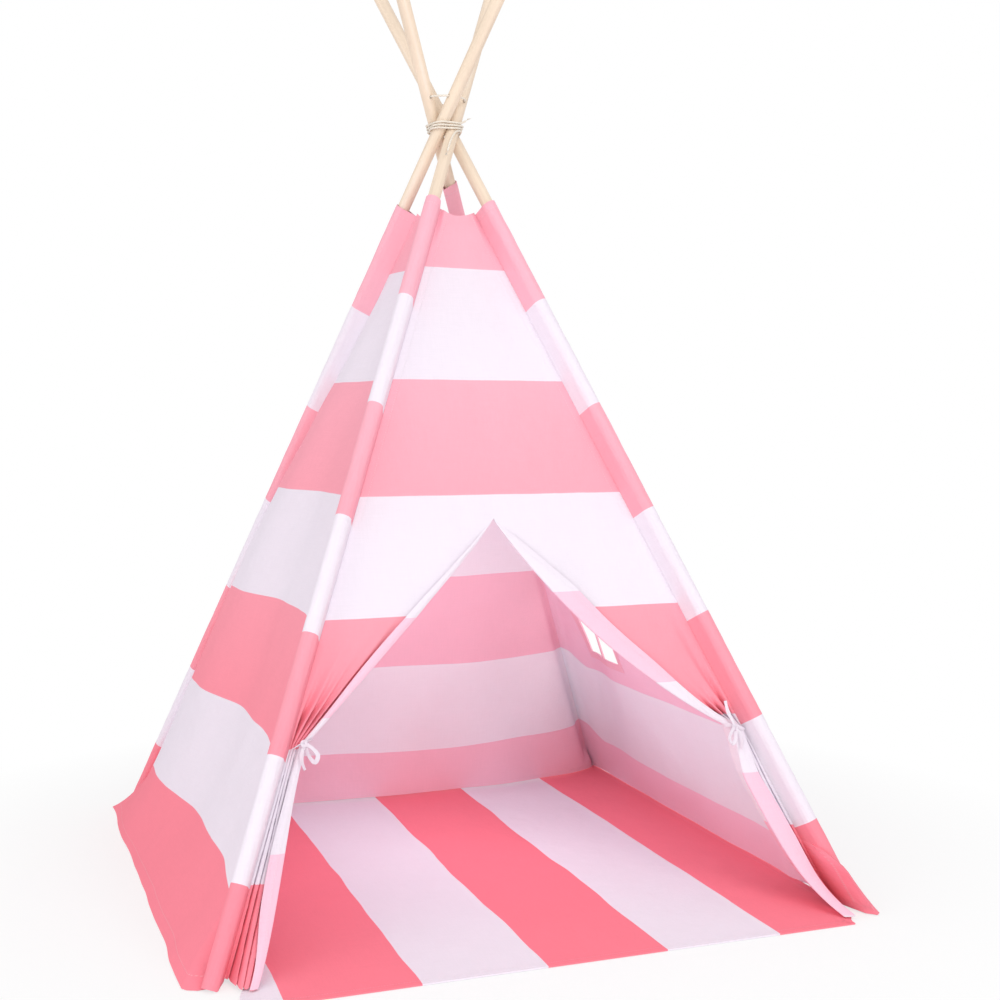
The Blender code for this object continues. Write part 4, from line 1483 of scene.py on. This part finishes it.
# Of the ribbons: how far they stand off the sleeve, half the thickness of their cloth, the knot's
# middle, and for each part its width, its turn from end to end and the points that it runs through.
# A point is how far in from the seam it lies, how far up, and how many times WRAP out.
WRAP = 0.0105
HALF_TAPE = 0.0006
KNOT = (0.020, 0.001, 1.45)
RIBBON_PARTS = {
    "band": (0.007, 0.6, [
        (-0.004, -0.006, -0.4), (0.004, -0.004, -1.7), (0.014, -0.002, -2.3), (0.028, 0.0, -1.5),
        (0.034, 0.002, 0.0), (0.028, 0.004, 1.0), (0.016, 0.002, 1.25), (0.004, -0.004, 1.05),
        (-0.002, -0.008, 0.5),
    ]),
    "knot": (0.006, 1.2, [
        (
            KNOT[0] + 0.004 * math.cos(angle),
            KNOT[1] + 0.0045 * math.sin(angle),
            KNOT[2] + 0.0012 / WRAP * math.sin(2 * angle),
        )
        for angle in (0.0, 1.0, 2.1, 3.1, 4.2, 5.2, 6.28, 7.2)
    ]),
    "loop": (0.007, 1.0, [
        KNOT, (0.030, -0.004, 1.9), (0.038, -0.016, 2.0), (0.032, -0.026, 1.9),
        (0.024, -0.016, 1.8), (0.021, -0.004, 1.7),
    ]),
    "down_tail": (0.006, -1.2, [
        KNOT, (0.014, -0.010, 1.7), (0.012, -0.024, 1.6), (0.016, -0.038, 1.5),
    ]),
    "up_tail": (0.006, 0.3, [
        KNOT, (0.025, 0.012, 1.7), (0.030, 0.028, 1.5), (0.031, 0.046, 1.35),
    ]),
}


class TEEPEE_OT_ribbons(bpy.types.Operator):
    """Tie both flaps back with flat cotton ribbons"""

    bl_idname = "teepee.ribbons"
    bl_label = "Tie-back Ribbons"

    def execute(self, context):
        self.wall = Wall("front_left", "front_right")
        for side, label in ((-1, "left"), (1, "right")):
            self.ribbon(side, label)
        return {"FINISHED"}

    def spot(self, side, inward, up, out):
        seam = abs(seam_x(self.wall, side, tie_height(side)))
        return self.wall.at_x(side * (seam - inward), tie_height(side) + up, out * WRAP)

    def strip(self, name, side):
        width, turn, route = RIBBON_PARTS[name]
        points = rounded([self.spot(side, *step) for step in route], 0.0016)

        def section(share):
            half = width * (1 - 0.15 * math.sin(9 * share)) / 2
            under = [(-half, -HALF_TAPE), (0, -HALF_TAPE * 1.2), (half, -HALF_TAPE)]
            over = [(half, HALF_TAPE), (0, HALF_TAPE * 0.8), (-half, HALF_TAPE)]
            along, up = math.cos(turn * share), math.sin(turn * share)
            return [(x * along - y * up, x * up + y * along) for x, y in under + over]

        return swept(name, points, section, self.wall.normal)

    def ribbon(self, side, label):
        """A band round the sleeve and a bow, which has a second tail on the right."""
        names = [name for name in RIBBON_PARTS if side > 0 or name != "up_tail"]
        pieces = [self.strip(name, side) for name in names]
        obj = joined(f"{label}_ribbon_cloth", pieces)
        obj.data.materials.append(cotton_once("trim_cotton", colours().white))
        smooth_shade(obj, 50)
        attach(obj, "front_frame")
        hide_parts(f"{label}_tie_ribbon")


# ---------------------------------------------------------------- studio


class TEEPEE_OT_stage(bpy.types.Operator):
    """Set the studio: pale floor, soft light and the camera"""

    bl_idname = "teepee.stage"
    bl_label = "Studio"

    def execute(self, context):
        self.floor()
        self.world()
        self.lamp("key_light", (1.2, -3.8, 3.2), 55, 2.6)
        self.lamp("fill_light", (-3.6, -1.4, 2.0), 31, 3.0)
        self.lamp("door_light", (-1.8, -4.2, 0.9), 24, 2.0)
        self.inner_glow()
        self.camera()
        context.scene.view_settings.view_transform = "Standard"
        return {"FINISHED"}

    def floor(self):
        bpy.ops.object.select_all(action="DESELECT")
        bpy.ops.mesh.primitive_plane_add(size=30, location=(0, 0, -0.0004))
        floor = bpy.context.active_object
        floor.name = floor.data.name = "studio_floor"
        bpy.ops.object.transform_apply()
        finish = Finish("studio_floor", roughness=0.9, specular_ior_level=0.0)
        grain = finish.noise(finish.place(), 60.0)
        tint = finish.blend(grain * 0.03, colours().floor, (0.9, 0.9, 0.9))
        finish.wear(base_color=tint)
        white = finish.node("Emission", {}, {"Color": (1, 1, 1), "Strength": 1.0})
        x, y, _ = finish.split(finish.place())
        away = (x * x + y * y).math("SQRT")
        camera, glossy, through = finish.light_path("Camera", "Glossy", "Transmission")
        seen = (camera + glossy + through).clamped()
        share = seen * (0.60 + (away * 1.5 - 1.0).clamped() * 0.40)
        mixed = finish.mix_shaders(share, Wire(finish, finish.shader.outputs[0]), white)
        finish.feed(finish.found("OUTPUT_MATERIAL").inputs[0], mixed)
        floor.data.materials.append(finish.material)

    def world(self):
        world = bpy.data.worlds.new("studio")
        bpy.context.scene.world = world
        nodes = Nodes(world)
        light = nodes.found("BACKGROUND")
        nodes.feed(light.inputs[0], (1.0, 0.99, 1.0))
        nodes.feed(light.inputs[1], 0.72)
        camera, glossy = nodes.light_path("Camera", "Glossy")
        white = nodes.node("Background", {}, {0: (1, 1, 1)})
        lit = Wire(nodes, light.outputs[0])
        mixed = nodes.mix_shaders(camera.math("MAXIMUM", glossy), lit, white)
        nodes.feed(nodes.found("OUTPUT_WORLD").inputs[0], mixed)

    @staticmethod
    def lamp(name, location, watts, width):
        aim = Vector((0, 0, 0.6)) - Vector(location)
        turn = aim.to_track_quat("-Z", "Y").to_euler()
        bpy.ops.object.light_add(type="AREA", radius=width, location=location, rotation=turn)
        light = bpy.context.active_object
        light.name = name
        light.data.energy, light.data.size = watts, width
        light.visible_camera = False

    @staticmethod
    def inner_glow():
        """The light that the thin cotton lets through."""
        bpy.ops.object.light_add(type="POINT", location=(0.0, 0.0, 0.44))
        light = bpy.context.active_object
        light.name = "inner_glow"
        light.data.energy, light.data.shadow_soft_size = 2.5, 0.25
        light.data.color = (0.92, 1.0, 1.0)
        light.visible_camera = False

    @staticmethod
    def camera():
        back = Vector((-0.32929, -0.90953, 0.25363))
        turn = back.to_track_quat("Z", "Y").to_euler()
        bpy.ops.object.camera_add(location=(-0.80806, -2.48285, 0.83133), rotation=turn)
        camera = bpy.context.active_object
        camera.name = "studio_camera"
        camera.data.lens, camera.data.sensor_width = 49.05, 36
        camera.data.shift_y = 0.28125
        bpy.context.scene.camera = camera


# ---------------------------------------------------------------- panel and registration


PIECES = (
    TEEPEE_OT_poles,
    TEEPEE_OT_sleeves,
    TEEPEE_OT_front,
    TEEPEE_OT_door,
    TEEPEE_OT_sides,
    TEEPEE_OT_back,
    TEEPEE_OT_mat,
    TEEPEE_OT_twine,
    TEEPEE_OT_ribbons,
    TEEPEE_OT_stage,
)


class TEEPEE_PT_build(bpy.types.Panel):
    """The teepee's pieces, in the order in which they are made"""

    bl_label = "Teepee"
    bl_idname = "TEEPEE_PT_build"
    bl_space_type = "VIEW_3D"
    bl_region_type = "UI"
    bl_category = "Teepee"

    def draw(self, context):
        for piece in PIECES:
            self.layout.operator(piece.bl_idname)


CLASSES = (TeepeeSizes, TeepeeColours, *PIECES, TEEPEE_PT_build)


def register():
    for each in CLASSES:
        bpy.utils.register_class(each)
    bpy.types.Scene.teepee_sizes = bpy.props.PointerProperty(type=TeepeeSizes)
    bpy.types.Scene.teepee_colours = bpy.props.PointerProperty(type=TeepeeColours)


def unregister():
    del bpy.types.Scene.teepee_colours
    del bpy.types.Scene.teepee_sizes
    for each in reversed(CLASSES):
        bpy.utils.unregister_class(each)


def main():
    register()
    for piece in PIECES:
        area, action = piece.bl_idname.split(".")
        getattr(getattr(bpy.ops, area), action)()


if __name__ == "__main__":
    main()
